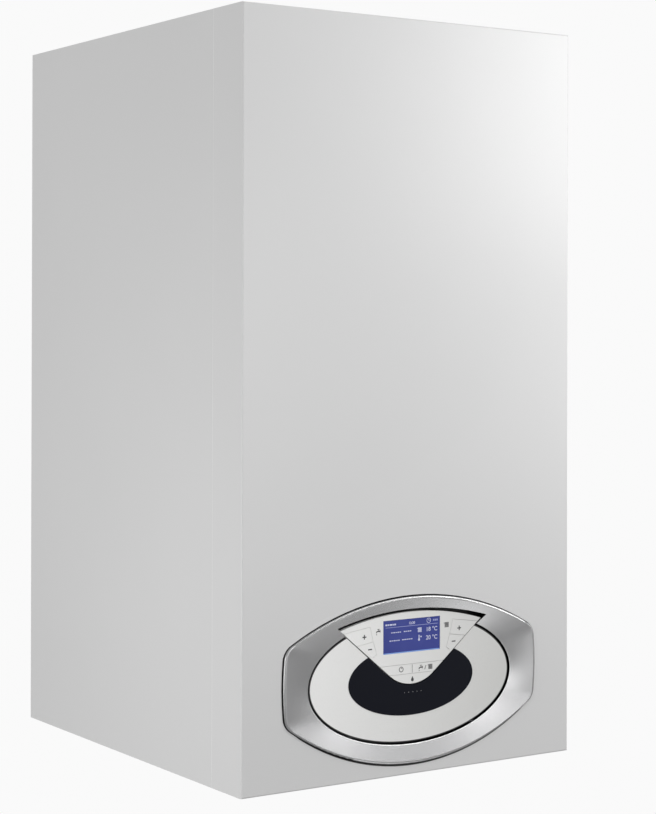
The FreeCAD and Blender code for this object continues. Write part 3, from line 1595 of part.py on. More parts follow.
def return_pipe():
    """The return pipe, in two lengths below and above the pump."""
    y = PIPE_Y
    x = S.return_x
    radii = (S.water_pipe_radius, S.water_pipe_radius - S.water_pipe_wall)
    low = stub_pipe("return_low", x, y, radii, S.water_stub_radius, S.pump_height - S.pump_port_reach)
    start = S.pump_height + S.pump_port_reach
    riser = tube("return_riser", "z", (x, y, start), radii, DRUM_Z - start)
    high = cut("return_high", riser, [drum_skin("return_seat")])
    keep("return_pipe", group("return_pipe", [low, high]))


def pump():
    """The pump on the return: a round casing with two ports, and its motor."""
    x, y, z = S.return_x, PIPE_Y, S.pump_height
    half = S.pump_depth / 2
    case = rod("pump_case", "-y", (x, y + half, z), S.pump_radius, S.pump_depth)
    ports = rod("pump_ports", "z", (x, y, z - S.pump_port_reach), S.pump_port_radius, S.pump_port_reach * 2)
    keep("pump_body", fuse("pump_body", [case, ports]))
    spot = (x, y - half, z)
    motor = rod("pump_can", "-y", spot, S.pump_motor_radius, S.pump_motor_length)
    cap_spot = (x, y - half - S.pump_motor_length, z)
    cap = rod("pump_cap", "-y", cap_spot, S.pump_cap_radius, S.pump_cap_length)
    keep("pump_motor", fuse("pump_motor", [motor, cap]))


def air_vent():
    """The automatic vent on top of the flow pipe's crest."""
    y = PIPE_Y
    x = -S.flow_port_x - FLOW_BEND
    foot = FLOW_CREST + FLOW_BEND + S.water_pipe_radius
    case = rod("vent_case", "z", (x, y, foot), S.vent_radius, S.vent_height)
    cap = rod("vent_cap", "z", (x, y, foot + S.vent_height), S.vent_cap_radius, S.vent_cap_height)
    keep("air_vent", fuse("air_vent", [case, cap]))


def safety_valve():
    """The safety valve on the flow pipe, with a down-turned outlet and a test knob."""
    x, y, z = FLOW_X, PIPE_Y, S.relief_height
    body_part = rod("relief_body", "-y", (x, y, z), S.relief_radius, S.relief_length)
    front = y - S.relief_length
    outlet_y = front + S.relief_outlet_radius
    outlet = rod("relief_outlet", "-z", (x, outlet_y, z), S.relief_outlet_radius, S.relief_outlet_length)
    stem = rod("relief_stem", "-y", (x, front, z), S.relief_stem_radius, S.relief_knob_length / 2)
    space_spot = (x, y, z - S.relief_outlet_length)
    space = rod("relief_pipe_space", "z", space_spot, S.water_pipe_radius, S.relief_outlet_length * 2)
    solid = fuse("relief_solid", [body_part, outlet, stem])
    keep("safety_valve", cut("safety_valve", solid, [space]))
    back = front - S.knob_lift
    knob = rod("relief_knob", "-y", (x, back, z), S.relief_knob_radius, S.relief_knob_length)
    hole_radius = S.relief_stem_radius + S.relief_fit
    tools = [rod("relief_knob_hole", "-y", (x, back, z), hole_radius, S.relief_knob_length / 2)]
    for i in range(GRIP_COUNT):
        angle = 2 * math.pi * i / GRIP_COUNT
        reach = S.relief_knob_radius + S.relief_knob_grip / 2
        spot = (x + reach * math.cos(angle), back, z + reach * math.sin(angle))
        tools.append(rod(f"relief_grip_{i}", "-y", spot, S.relief_knob_grip, S.relief_knob_length))
    keep("safety_valve_knob", cut("safety_valve_knob", knob, tools))


def condensate():
    """The condensate trap and the hose from the drum to it."""
    x, y = -S.trap_x, TRAP_Y
    case = rod("trap_case", "z", (x, y, S.trap_foot), S.trap_radius, S.trap_top - S.trap_foot)
    cup = rod("trap_cup", "z", (x, y, S.trap_foot), S.trap_cup_radius, S.trap_cup_height)
    drain = rod("trap_drain", "-z", (x, y, S.trap_foot), S.trap_neck_radius, S.trap_foot + S.stub_length)
    keep("condensate_trap", fuse("condensate_trap", [case, cup, drain]))
    bend = S.hose_bend
    end_x = x + S.hose_shift
    mid = S.trap_top + (DRUM_Z - S.drum_radius - S.trap_top) * S.hose_mid_share
    corners = [
        (x, S.trap_top),
        (x, mid - bend, bend, CLOCKWISE),
        (x + bend, mid),
        (end_x - bend, mid, bend),
        (end_x, mid + bend),
        (end_x, DRUM_Z),
    ]
    radii = (S.hose_radius, S.hose_radius - S.hose_wall)
    hose = pipe("hose", "XZ", y, corners, "XY", S.trap_top, (x, y), radii)
    keep("condensate_hose", cut("condensate_hose", hose, [drum_skin("hose_seat")]))


BUILDERS = (
    front_cover,
    cover_insulation,
    side_panels,
    rear_frame,
    top_panel,
    bottom_plate,
    wall_bracket,
    hanging_hooks,
    cover_screws,
    cable_gland,
    bezel,
    flap,
    flap_lens,
    flap_pins,
    keypad,
    display,
    control_box,
    main_board,
    service_panel,
    menu_knob,
    small_keys,
    control_brackets,
    heat_exchanger,
    exchanger_brackets,
    burner,
    ignition,
    fan_housing,
    fan_impeller,
    fan_motor,
    mixer_elbow,
    venturi,
    gas_valve,
    gas_pipe,
    flue_pipe,
    flue_collar,
    flow_pipe,
    return_pipe,
    pump,
    air_vent,
    safety_valve,
    condensate,
)


def check_document():
    """Stops the build if any object failed or any sub-part has no sound shape."""
    for thing in DOC.Objects:
        if "Invalid" in thing.State or "Error" in thing.State:
            raise RuntimeError(f"{thing.Name} is {thing.State}")
    for name, made in NODES.items():
        if made.Shape.isNull() or not made.Shape.isValid() or not made.Shape.Solids:
            raise RuntimeError(f"{name} has no valid solid")


def write_parts():
    """Writes one file for each sub-part."""
    os.makedirs("parts", exist_ok=True)
    for name, made in NODES.items():
        made.Shape.exportStep(f"parts/{name}.step")


for build in BUILDERS:
    build()
DOC.recompute()
check_document()
write_parts()
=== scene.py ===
import json
import math

import bmesh
import bpy
from mathutils import Matrix, Vector


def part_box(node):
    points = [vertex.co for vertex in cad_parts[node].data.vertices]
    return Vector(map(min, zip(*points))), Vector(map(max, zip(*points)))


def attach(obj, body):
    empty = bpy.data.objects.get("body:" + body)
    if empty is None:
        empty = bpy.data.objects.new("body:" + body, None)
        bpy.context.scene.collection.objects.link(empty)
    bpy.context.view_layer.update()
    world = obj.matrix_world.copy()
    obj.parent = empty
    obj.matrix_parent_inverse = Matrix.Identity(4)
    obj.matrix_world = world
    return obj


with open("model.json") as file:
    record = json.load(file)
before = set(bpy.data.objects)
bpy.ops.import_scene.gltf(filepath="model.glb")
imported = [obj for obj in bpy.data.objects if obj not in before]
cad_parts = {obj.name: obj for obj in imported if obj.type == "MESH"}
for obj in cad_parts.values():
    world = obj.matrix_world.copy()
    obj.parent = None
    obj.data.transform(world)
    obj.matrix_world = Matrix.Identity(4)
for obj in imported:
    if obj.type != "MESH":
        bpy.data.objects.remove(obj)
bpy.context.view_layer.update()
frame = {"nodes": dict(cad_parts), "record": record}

MM = 0.001
NODES = frame["nodes"]

# camera, fitted to the corners of the case: pixels, metres and angles, and the sensor in millimetres
IMAGE_WIDTH = 656
IMAGE_HEIGHT = 814
FOCAL_PX = 1982.2
PRINCIPAL_PX = (297.1, 315.2)
CAMERA_SPOT = Vector((-1.4027, -2.4586, 0.5387))
CAMERA_YAW = math.radians(32.933)
CAMERA_PITCH = math.radians(0.1805)
CAMERA_ROLL = math.radians(0.137)
CAMERA_REACH = 60.0
SENSOR = 36.0

# lamps: place, target, width and height in metres, watts, and whether they light diffuse faces too
LAMPS = {
    "key_lamp": ((1.15, -1.52, 1.03), (0.22, -0.55, 0.80), (0.52, 0.70), 10.2, True),
    "front_fill": ((0.60, -2.80, 1.00), (0.10, -0.55, 0.60), (1.0, 1.0), 4.9, True),
    "strip_near": ((0.78, -2.53, 0.30), (0.0, -0.55, 0.11), (0.42, 0.95), 4.9, False),
    "strip_far": ((1.70, -1.90, 0.36), (0.0, -0.55, 0.11), (0.42, 0.50), 3.6, False),
    "strip_low": ((0.78, -1.83, -0.79), (0.0, -0.55, 0.20), (0.45, 0.45), 2.0, False),
    "strip_left": ((-1.85, -1.60, 0.40), (-0.18, -0.55, 0.12), (0.40, 1.20), 5.0, False),
    "side_fill": ((-1.10, -0.62, 0.15), (-0.24, -0.45, 0.25), (0.5, 0.5), 2.2, True),
    "right_fill": ((1.30, -0.20, 0.45), (0.24, -0.20, 0.45), (0.55, 0.90), 2.9, True),
}

# floor, backdrop and the soft light from all round
FLOOR_LEFT, FLOOR_RIGHT = -4.0, 8.0
FLOOR_FRONT, FLOOR_BACK = -9.0, 2.2
FLOOR_LEVEL = -1.2
# the floor's colour for the light that it throws back, and for the rays that show it
FLOOR_BOUNCE = (0.27, 0.27, 0.27)
FLOOR_SEEN = (0.82, 0.82, 0.82)
FLOOR_ROUGHNESS = 0.9
BACKDROP = (0.955, 0.955, 0.955)
BACKDROP_RAYS = ("Is Camera Ray", "Is Glossy Ray", "Is Transmission Ray")
WORLD_LIGHT = 0.65
SKY_AXIS = (-0.60, -0.35, 0.60)
SKY_SPAN = (-0.32, 0.70)
SKY_TONES = (0.29, 1.33)

# levels of the control panel's faces, in millimetres
KEYPAD_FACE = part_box("keypad_plate")[0][1] / MM
WINDOW_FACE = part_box("display_window")[0][1] / MM
LENS_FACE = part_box("flap_lens")[0][1] / MM
FLAP_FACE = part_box("flap")[0][1] / MM

# edge rounds of the folded sheets and the seam between cover and sides, in millimetres
EDGE_ROUNDS = {"front_cover": 0.4, "side_panel_left": 0.4, "side_panel_right": 0.4}
EDGE_SEGMENTS = 2
EDGE_ANGLE = math.radians(50.0)
SEAM_GAP = 0.8
SEAM_BEAD_DEPTH = 0.6
SEAM_BEAD_CLEARANCE = 0.05

# thin beads round the bezel, in millimetres, with their arcs in degrees: bright ones that paint
# highlights along the lower and right edge of the opening and along the rim's top, and a dark one on
# the cover that paints the shadow under the bezel's foot
OPENING_MIDDLE = 112.5
PANEL_BEADS = {
    "opening_highlight": dict(middle=OPENING_MIDDLE, half_sizes=(149.4, 77.4), level=-547.6, radius=0.6,
                        arc=(-165.0, 25.0), finish="lip_highlight", body="chassis", slot="silver_plastic"),
    "rim_highlight": dict(middle=-143.7, half_sizes=(354.4, 354.4), level=-552.45, radius=0.5,
                     arc=(61.5, 118.5), finish="lip_highlight", body="chassis", slot="silver_plastic"),
    # a dark bead on the cover that paints the shadow under the bezel's foot
    "foot_shadow": dict(middle=311.9, half_sizes=(300.4, 300.4), level=-550.0, radius=0.7,
                      arc=(-123.0, -57.0), finish="rubber", body="front_cover", slot="rubber"),
}
BEAD_STEPS = 96
BEAD_RESOLUTION = 2
# thickness of a bead at its ends, as a share
BEAD_END = 0.2

# prints on the keypad and the lens, in millimetres
PRINT_DEPTH = 0.08
PLUS_BAR, PLUS_LINE = 5.6, 1.35
# places of the plus and the minus on each side
STEP_SPOTS = {
    "water": ((-69.2, 167.9), (-61.0, 152.7)),
    "heat": ((70.8, 167.5), (62.4, 152.2)),
}
POWER_SIGN = dict(x=-15.8, z=125.1, radius=3.3, line=0.85)
MODE_TAP = dict(x=12.0, z=124.8, size=7.4)
MODE_SLASH = [(18.6, 122.2), (19.4, 122.2), (21.2, 127.2), (20.4, 127.2)]
MODE_RADIATOR = dict(x=27.4, z=124.8, size=6.0)
DIVIDER_WIDTH = 0.4
DIVIDER_MARGIN = 1.2
TAP_SIGN = dict(x=-50.4, z=172.8, size=7.4)
RADIATOR_SIGN = dict(x=51.8, z=173.0, size=6.2)
FLAME_SIGN = dict(x=0.7, z=111.5, radius=2.0, rise=4.4)
DOT_COUNT = 5
DOT_FIRST, DOT_PITCH = -10.5, 6.1
DOT_LEVEL, DOT_RADIUS = 97.0, 0.46
SMALL_STEPS = 10

# tap and radiator signs, in shares of their size; a bar has its middle across and up, width and height
TAP_BARS = (
    (0.30, 0.05, 0.50, 0.20),
    (0.50, 0.05, 0.10, 0.44),
    (0.18, 0.24, 0.09, 0.22),
    (0.18, 0.38, 0.42, 0.09),
)
# the spout's middle across and up, outer and inner radius
TAP_SPOUT = (0.06, -0.18, 0.33, 0.15)
# the drop's middle across and up, radius and rise
TAP_DROP = (-0.18, -0.48, 0.07, 0.16)
RADIATOR_RIBS = 5
RIB_SHARE = 0.74
RADIATOR_VALVE = (-0.58, 0.34, 0.24, 0.10)

# arcs in degrees: the tap's spout, the open ring of the power sign and the clock's almost closed one
SPOUT_ARC = (90, 190)
POWER_ARC = (112, 428)
CLOCK_ARC = (90, 449)
# the stroke of the power sign, in shares of its ring's radius
POWER_STROKE_RISE, POWER_STROKE_LENGTH = 0.62, 0.9

# the display, in millimetres from its upper left corner, with figures made a little bolder
FIGURE_WEIGHT = 0.09
FIGURE_RESOLUTION = 3
# figures: text, its lower left corner across and down, and its height
DISPLAY_FIGURES = {
    "figures_time": ("12:30", 37.8, 6.8, 4.2),
    "figures_first": ("18 °C", 63.2, 17.2, 7.2),
    "figures_second": ("20 °C", 63.2, 27.2, 7.2),
}
# rows of dashes: start across and down, lengths, height and gap
DISPLAY_ROWS = (
    (3.6, 5.4, (3.0, 2.0, 3.4, 1.6, 2.6), 1.9, 0.7),
    (12.0, 15.0, (2.2, 3.0, 1.6, 2.6, 1.8), 1.1, 0.8),
    (30.5, 14.8, (2.6, 1.8, 2.4, 2.0), 1.1, 0.7),
    (9.6, 24.6, (2.6, 1.8, 3.0, 2.0, 2.4), 1.1, 0.8),
    (28.0, 24.4, (2.4, 3.0, 1.8, 2.6, 2.6), 1.1, 0.7),
)
FAINT_ROW = (74.0, 4.4, (1.6, 2.0, 1.6), 2.2, 0.7)
CLOCK_SPOT = (67.4, 4.4)
DISPLAY_RADIATOR_SPOT, DISPLAY_RADIATOR_SIZE = (54.0, 14.6), 5.6
THERMOMETER_SPOT = (53.0, 24.0)
RULE_SPOT, RULE_SIZE = (42.3, 8.7), (77.0, 0.55)
FOOT_SPOT, FOOT_SIZE = (42.0, 39.3), (83.0, 1.0)

# finishes: the wander of tone and roughness, fine relief and the edges of the silver paint and of the
# painted gap shade, with lengths in metres
TONE_SPAN = (0.3, 0.7)
SHADE_SHARE = 0.93
NOISE_DETAIL = 3.0
FINE_DEPTH = 0.00006
NO_STRETCH = (1.0, 1.0, 1.0)
# dark moulding that paints the shade in the gaps round the flap
GAP_SHADE_MOULDING = (0.02, 0.02, 0.021)
SHADE_EDGE_FADE = 0.0003
# the bezel's silver paint ends just in front of the flap's face, and the flap's white just behind it;
# what lies behind both lines is dark, painted shade in the gap round the flap
BEZEL_SHADE_LINE = FLAP_FACE * MM - 0.0006
FLAP_SHADE_LINE = FLAP_FACE * MM + 0.0005
# the flap's white face within its dark rim, which paints the shade of the gap round it: half sizes and
# middle height
FLAP_OVAL = (0.1449, 0.0729, OPENING_MIDDLE * MM)

# plain finishes: colour, roughness from and to, and where they differ from the usual
SURFACES = {
    "casing_paint": dict(colour=(0.70, 0.70, 0.70), rough=(0.30, 0.36), grain=1100.0, relief=0.06,
                         shade=0.985, blotch=4.0),
    "foam": dict(colour=(0.10, 0.10, 0.105), rough=(0.9, 1.0), blotch=60.0, grain=700.0, relief=0.8,
                 depth=0.0006, shade=0.7),
    "bright_steel": dict(colour=(0.72, 0.72, 0.72), rough=(0.14, 0.24), metal=1.0, grain=400.0,
                         relief=0.03),
    "black_steel": dict(colour=(0.04, 0.04, 0.042), rough=(0.4, 0.5), metal=0.8, relief=0.05),
    "dark_lens": dict(colour=(0.0065, 0.0075, 0.013), rough=(0.10, 0.16), grain=1200.0, relief=0.02,
                      shine=0.12),
    "dark_plastic": dict(colour=(0.03, 0.03, 0.033), rough=(0.45, 0.6), grain=1300.0, relief=0.2),
    "grey_plastic": dict(colour=(0.30, 0.31, 0.32), rough=(0.4, 0.55), grain=1300.0, relief=0.15),
    "circuit_board": dict(colour=(0.03, 0.16, 0.07), rough=(0.3, 0.42), grain=500.0, relief=0.15,
                          shade=0.6, blotch=70.0),
    "stainless_steel": dict(colour=(0.56, 0.55, 0.54), rough=(0.26, 0.42), metal=1.0, relief=0.05,
                            stretch=(1.0, 0.03, 1.0)),
    "cast_aluminium": dict(colour=(0.52, 0.52, 0.53), rough=(0.45, 0.62), metal=1.0, grain=650.0,
                           relief=0.35, depth=0.00015),
    "black_paint": dict(colour=(0.022, 0.022, 0.025), rough=(0.3, 0.42), grain=800.0, relief=0.12),
    "cast_iron": dict(colour=(0.075, 0.08, 0.085), rough=(0.5, 0.65), metal=0.3, grain=600.0,
                      relief=0.4, depth=0.0002),
    "copper": dict(colour=(0.66, 0.33, 0.19), rough=(0.24, 0.44), metal=1.0, blotch=26.0, grain=500.0,
                   relief=0.04, shade=0.78),
    "brass": dict(colour=(0.66, 0.48, 0.20), rough=(0.24, 0.36), metal=1.0, blotch=40.0, grain=700.0,
                  relief=0.05, shade=0.86),
    "red_plastic": dict(colour=(0.42, 0.015, 0.012), rough=(0.34, 0.46), grain=1300.0),
    "rubber": dict(colour=(0.022, 0.022, 0.022), rough=(0.6, 0.75), grain=1400.0, relief=0.2),
    "ceramic": dict(colour=(0.70, 0.67, 0.60), rough=(0.2, 0.3), grain=500.0, relief=0.05),
    # the seam bead's pale colour paints a highlight along the seam, and the bright lip's paints
    # highlights along the bezel's edges
    "seam_bead": dict(colour=(0.92, 0.92, 0.92), rough=(0.2, 0.3), relief=0.03),
    "lip_highlight": dict(colour=(0.93, 0.93, 0.93), rough=(0.2, 0.3), metal=0.5, relief=0.03),
    "key_print": dict(colour=(0.03, 0.03, 0.032), rough=(0.5, 0.6), grain=2500.0, relief=0.05),
    "pale_print": dict(colour=(0.30, 0.30, 0.305), rough=(0.5, 0.6), grain=2500.0, relief=0.05),
}
ZINC = dict(dark=(0.52, 0.53, 0.54), light=(0.62, 0.63, 0.64), rough=(0.30, 0.48), cells=130.0)
# the bezel's silver paint ends at a line, and behind it is dark moulding that paints the shade in the
# gap round the flap
SILVER_PAINT = dict(paint=(0.325, 0.325, 0.328), line=BEZEL_SHADE_LINE, metal=0.92, rough=(0.22, 0.27),
                    grain=3200.0, relief=0.05, depth=FINE_DEPTH / 2)
# the flap's and the keypad's white fall off from left to right: the darker right tone is painted shade
FLAP_WHITE_AND_SHADE = dict(left=(0.97, 0.97, 0.96), right=(0.66, 0.66, 0.645), reach=0.146, rough=(0.26, 0.32),
                  grain=1500.0, relief=0.03, rim=(FLAP_SHADE_LINE, FLAP_OVAL))
KEYPAD_WHITE_AND_SHADE = dict(left=(0.96, 0.96, 0.945), right=(0.70, 0.70, 0.69), reach=0.104,
                    rough=(0.38, 0.46), grain=2200.0, relief=0.05)
DISPLAY_PANE = dict(dark=(0.030, 0.043, 0.22), light=(0.037, 0.051, 0.245), rough=(0.16, 0.22),
                    blotch=40.0, shine=0.35, glow=(0.05, 0.065, 0.30), strength=0.18)
# lit prints of the display: colour and strength
GLOWS = {
    "display_figures": ((0.58, 0.60, 0.78), 0.1),
    "display_rule": ((0.30, 0.33, 0.62), 0.1),
    "display_foot": ((0.16, 0.30, 0.66), 0.2),
}
GLOW_BLOTCH = 60.0


def start_material(name, colour=None):
    """A new node material with its shader, and its colour in plain views where given."""
    made = bpy.data.materials.new(name)
    made.use_nodes = True
    if colour is not None:
        made.diffuse_color = (*colour, 1.0)
    tree = made.node_tree
    shader = next(n for n in tree.nodes if n.type == "BSDF_PRINCIPLED")
    return made, tree, shader


def add_place(tree):
    """Places in the object's own metres."""
    return tree.nodes.new("ShaderNodeTexCoord").outputs["Object"]


def add_axes(tree, place):
    """The X, Y and Z of a place."""
    split = tree.nodes.new("ShaderNodeSeparateXYZ")
    tree.links.new(place, split.inputs["Vector"])
    return split.outputs


def add_span(tree, value, ends, results=(0.0, 1.0)):
    """A value carried from one span to another, and held at its ends."""
    span = tree.nodes.new("ShaderNodeMapRange")
    span.inputs["From Min"].default_value, span.inputs["From Max"].default_value = ends
    span.inputs["To Min"].default_value, span.inputs["To Max"].default_value = results
    tree.links.new(value, span.inputs["Value"])
    return span.outputs["Result"]


def add_ramp(tree, value, first, last, ends=(0.0, 1.0)):
    """A colour that runs from the first to the last while a value runs between its ends."""
    ramp = tree.nodes.new("ShaderNodeValToRGB")
    low, high = ramp.color_ramp.elements
    low.position, high.position = ends
    low.color = (*first, 1.0)
    high.color = (*last, 1.0)
    tree.links.new(value, ramp.inputs["Fac"])
    return ramp.outputs["Color"]


def add_larger(tree, first, second):
    """The larger of two values."""
    larger = tree.nodes.new("ShaderNodeMath")
    larger.operation = "MAXIMUM"
    tree.links.new(first, larger.inputs[0])
    tree.links.new(second, larger.inputs[1])
    return larger.outputs["Value"]


def add_noise(tree, scale, stretch=NO_STRETCH):
    """Noise in the object's own metres, stretched along an axis where asked."""
    mapping = tree.nodes.new("ShaderNodeMapping")
    mapping.inputs["Scale"].default_value = stretch
    noise = tree.nodes.new("ShaderNodeTexNoise")
    noise.inputs["Scale"].default_value = scale
    noise.inputs["Detail"].default_value = NOISE_DETAIL
    tree.links.new(add_place(tree), mapping.inputs["Vector"])
    tree.links.new(mapping.outputs["Vector"], noise.inputs["Vector"])
    return noise.outputs["Fac"]


def add_tones(tree, shader, noise, dark, light):
    """Base colour that wanders between two tones."""
    tree.links.new(add_ramp(tree, noise, dark, light, TONE_SPAN), shader.inputs["Base Color"])


def add_roughness(tree, shader, noise, rough):
    """Roughness that wanders between two values."""
    tree.links.new(add_span(tree, noise, TONE_SPAN, rough), shader.inputs["Roughness"])


def add_grain(tree, shader, grain, rough, relief, depth=FINE_DEPTH, stretch=NO_STRETCH):
    """Wandering roughness with a fine relief."""
    fine = add_noise(tree, grain, stretch)
    add_roughness(tree, shader, fine, rough)
    bump = tree.nodes.new("ShaderNodeBump")
    bump.inputs["Strength"].default_value = relief
    bump.inputs["Distance"].default_value = depth
    tree.links.new(fine, bump.inputs["Height"])
    tree.links.new(bump.outputs["Normal"], shader.inputs["Normal"])


def surface(name, colour, rough, metal=0.0, blotch=9.0, grain=900.0, relief=0.1, depth=FINE_DEPTH,
            shade=SHADE_SHARE, stretch=NO_STRETCH, shine=0.5):
    """A finish with wandering tone and roughness and a fine relief."""
    made, tree, shader = start_material(name, colour)
    add_tones(tree, shader, add_noise(tree, blotch), [c * shade for c in colour], colour)
    add_grain(tree, shader, grain, rough, relief, depth, stretch)
    shader.inputs["Metallic"].default_value = metal
    shader.inputs["Specular IOR Level"].default_value = shine
    return made


def spangled(name, dark, light, rough, cells):
    """Zinc-coated sheet: crystals of slightly different tone and gloss."""
    made, tree, shader = start_material(name, light)
    crystals = tree.nodes.new("ShaderNodeTexVoronoi")
    crystals.inputs["Scale"].default_value = cells
    split = tree.nodes.new("ShaderNodeSeparateColor")
    tree.links.new(add_place(tree), crystals.inputs["Vector"])
    tree.links.new(crystals.outputs["Color"], split.inputs["Color"])
    tone = add_ramp(tree, split.outputs["Red"], dark, light)
    gloss = add_span(tree, split.outputs["Green"], (0.0, 1.0), rough)
    tree.links.new(tone, shader.inputs["Base Color"])
    tree.links.new(gloss, shader.inputs["Roughness"])
    shader.inputs["Metallic"].default_value = 1.0
    return made


def outside_oval(tree, place, oval):
    """Nought within an oval in the front view, and one outside it."""
    across, rise, middle = oval
    fit = tree.nodes.new("ShaderNodeMapping")
    fit.inputs["Scale"].default_value = (1.0 / across, 0.0, 1.0 / rise)
    fit.inputs["Location"].default_value = (0.0, 0.0, -middle / rise)
    reach = tree.nodes.new("ShaderNodeVectorMath")
    reach.operation = "LENGTH"
    tree.links.new(place, fit.inputs["Vector"])
    tree.links.new(fit.outputs["Vector"], reach.inputs[0])
    return add_span(tree, reach.outputs["Value"], (1.0, 1.0 + SHADE_EDGE_FADE / rise))


def within_shaded_rim(tree, place, colour, line, oval):
    """A colour on a face within an oval, and a dark moulding round it and behind it: painted shade in
    the gap round the face.
    """
    behind = add_span(tree, add_axes(tree, place)["Y"], (line, line + SHADE_EDGE_FADE))
    mix = tree.nodes.new("ShaderNodeMixRGB")
    mix.inputs["Color2"].default_value = (*GAP_SHADE_MOULDING, 1.0)
    tree.links.new(add_larger(tree, behind, outside_oval(tree, place, oval)), mix.inputs["Fac"])
    tree.links.new(colour, mix.inputs["Color1"])
    return mix.outputs["Color"]


def painted_shade_falloff(name, left, right, reach, rough, grain, relief, rim=None):
    """A moulded plastic whose tone falls off evenly from its left end to its right end: painted shade,
    standing in for light that falls off across it.
    """
    made, tree, shader = start_material(name, left)
    place = add_place(tree)
    share = add_span(tree, add_axes(tree, place)["X"], (-reach, reach))
    colour = add_ramp(tree, share, left, right)
    if rim is not None:
        colour = within_shaded_rim(tree, place, colour, *rim)
    tree.links.new(colour, shader.inputs["Base Color"])
    add_grain(tree, shader, grain, rough, relief)
    return made


def silver_front_gap_shade(name, paint, line, metal, rough, grain, relief, depth):
    """Metallic paint on what lies in front of a line in its depth, and dark moulding behind it: painted
    shade in the gap round the flap.
    """
    made, tree, shader = start_material(name, paint)
    behind = add_span(tree, add_axes(tree, add_place(tree))["Y"], (line, line + SHADE_EDGE_FADE))
    tree.links.new(add_ramp(tree, behind, paint, GAP_SHADE_MOULDING), shader.inputs["Base Color"])
    add_grain(tree, shader, grain, rough, relief, depth)
    shader.inputs["Metallic"].default_value = metal
    return made


def lit_display(name, dark, light, rough, blotch, shine, glow, strength):
    """The blue pane of the display, lit from behind."""
    made, tree, shader = start_material(name)
    patch = add_noise(tree, blotch)
    add_tones(tree, shader, patch, dark, light)
    add_roughness(tree, shader, patch, rough)
    shader.inputs["Specular IOR Level"].default_value = shine
    shader.inputs["Emission Color"].default_value = (*glow, 1.0)
    shader.inputs["Emission Strength"].default_value = strength
    return made


def glowing(name, colour, strength):
    """A lit print of the display."""
    made, tree, shader = start_material(name)
    add_tones(tree, shader, add_noise(tree, GLOW_BLOTCH), [c * SHADE_SHARE for c in colour], colour)
    shader.inputs["Emission Color"].default_value = (*colour, 1.0)
    shader.inputs["Emission Strength"].default_value = strength
    return made


MATERIALS = {name: surface(name, **finish) for name, finish in SURFACES.items()}
MATERIALS.update({name: glowing(name, *finish) for name, finish in GLOWS.items()})
MATERIALS["galvanised_steel"] = spangled("galvanised_steel", **ZINC)
MATERIALS["silver_plastic"] = silver_front_gap_shade("silver_plastic", **SILVER_PAINT)
MATERIALS["white_plastic"] = painted_shade_falloff("white_plastic", **FLAP_WHITE_AND_SHADE)
MATERIALS["keypad_plastic"] = painted_shade_falloff("keypad_plastic", **KEYPAD_WHITE_AND_SHADE)
MATERIALS["display_glass"] = lit_display("display_glass", **DISPLAY_PANE)


def dress_nodes():
    """Gives every solid its own finish."""
    for row in frame["record"]["subparts"]:
        slots = NODES[row["node"]].data.materials
        slots.clear()
        slots.append(MATERIALS[row["material_slot"]])


def round_edges():
    """Rounds the sharp edges of the folded sheets a little."""
    for node, width in EDGE_ROUNDS.items():
        made = NODES[node].modifiers.new("edge_round", "BEVEL")
        made.width = width * MM
        made.segments = EDGE_SEGMENTS
        made.limit_method = "ANGLE"
        made.angle_limit = EDGE_ANGLE


def add_object(name, data):
    """A new object in the scene."""
    made = bpy.data.objects.new(name, data)
    bpy.context.scene.collection.objects.link(made)
    return made


def add_piece(name, mesh, finish, body):
    """A piece of the boiler with its finish and the body it rides on."""
    mesh.materials.clear()
    mesh.materials.append(MATERIALS[finish])
    made = add_object(name, mesh)
    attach(made, body)


def mesh_of(curve):
    """The mesh that a curve gives."""
    helper = add_object(f"{curve.name}_curve", curve)
    bpy.context.view_layer.update()
    mesh = bpy.data.meshes.new_from_object(helper)
    bpy.data.objects.remove(helper)
    return mesh


def add_print(work, outline, face):
    """A thin closed plate over an outline that runs anticlockwise as seen from the front."""
    back = [work.verts.new((x * MM, face * MM, z * MM)) for x, z in outline]
    front = [work.verts.new((x * MM, (face - PRINT_DEPTH) * MM, z * MM)) for x, z in outline]
    work.faces.new(front)
    work.faces.new(back[::-1])
    for i in range(len(outline)):
        work.faces.new((front[i], front[i - 1], back[i - 1], back[i]))


def printed(name, body, outlines, face, finish):
    """A thin print of flat outlines on a face that looks to the front, given in millimetres."""
    mesh = bpy.data.meshes.new(name)
    work = bmesh.new()
    for outline in outlines:
        add_print(work, outline, face)
    work.normal_update()
    bmesh.ops.triangulate(work, faces=work.faces[:])
    work.to_mesh(mesh)
    work.free()
    add_piece(name, mesh, finish, body)


def box_outline(x, z, width, height):
    """A rectangle around a middle."""
    w, h = width / 2, height / 2
    return [(x - w, z - h), (x + w, z - h), (x + w, z + h), (x - w, z + h)]


def disc_outline(x, z, radius, steps=20):
    """A round spot."""
    turns = [2 * math.pi * i / steps for i in range(steps)]
    return [(x + radius * math.cos(a), z + radius * math.sin(a)) for a in turns]


def arc_outline(x, z, outer, inner, arc, steps=28):
    """A band along an arc, with its angles in degrees."""
    start, end = arc
    angles = [math.radians(start + (end - start) * i / steps) for i in range(steps + 1)]
    far = [(x + outer * math.cos(a), z + outer * math.sin(a)) for a in angles]
    near = [(x + inner * math.cos(a), z + inner * math.sin(a)) for a in reversed(angles)]
    return far + near


def drop_outline(x, z, radius, rise, steps=18):
    """A drop: a round foot drawn up to a point."""
    half = math.acos(radius / rise)
    first, last = math.pi / 2 + half, math.pi / 2 - half + 2 * math.pi
    angles = [first + (last - first) * i / steps for i in range(steps + 1)]
    return [(x, z + rise)] + [(x + radius * math.cos(a), z + radius * math.sin(a)) for a in angles]


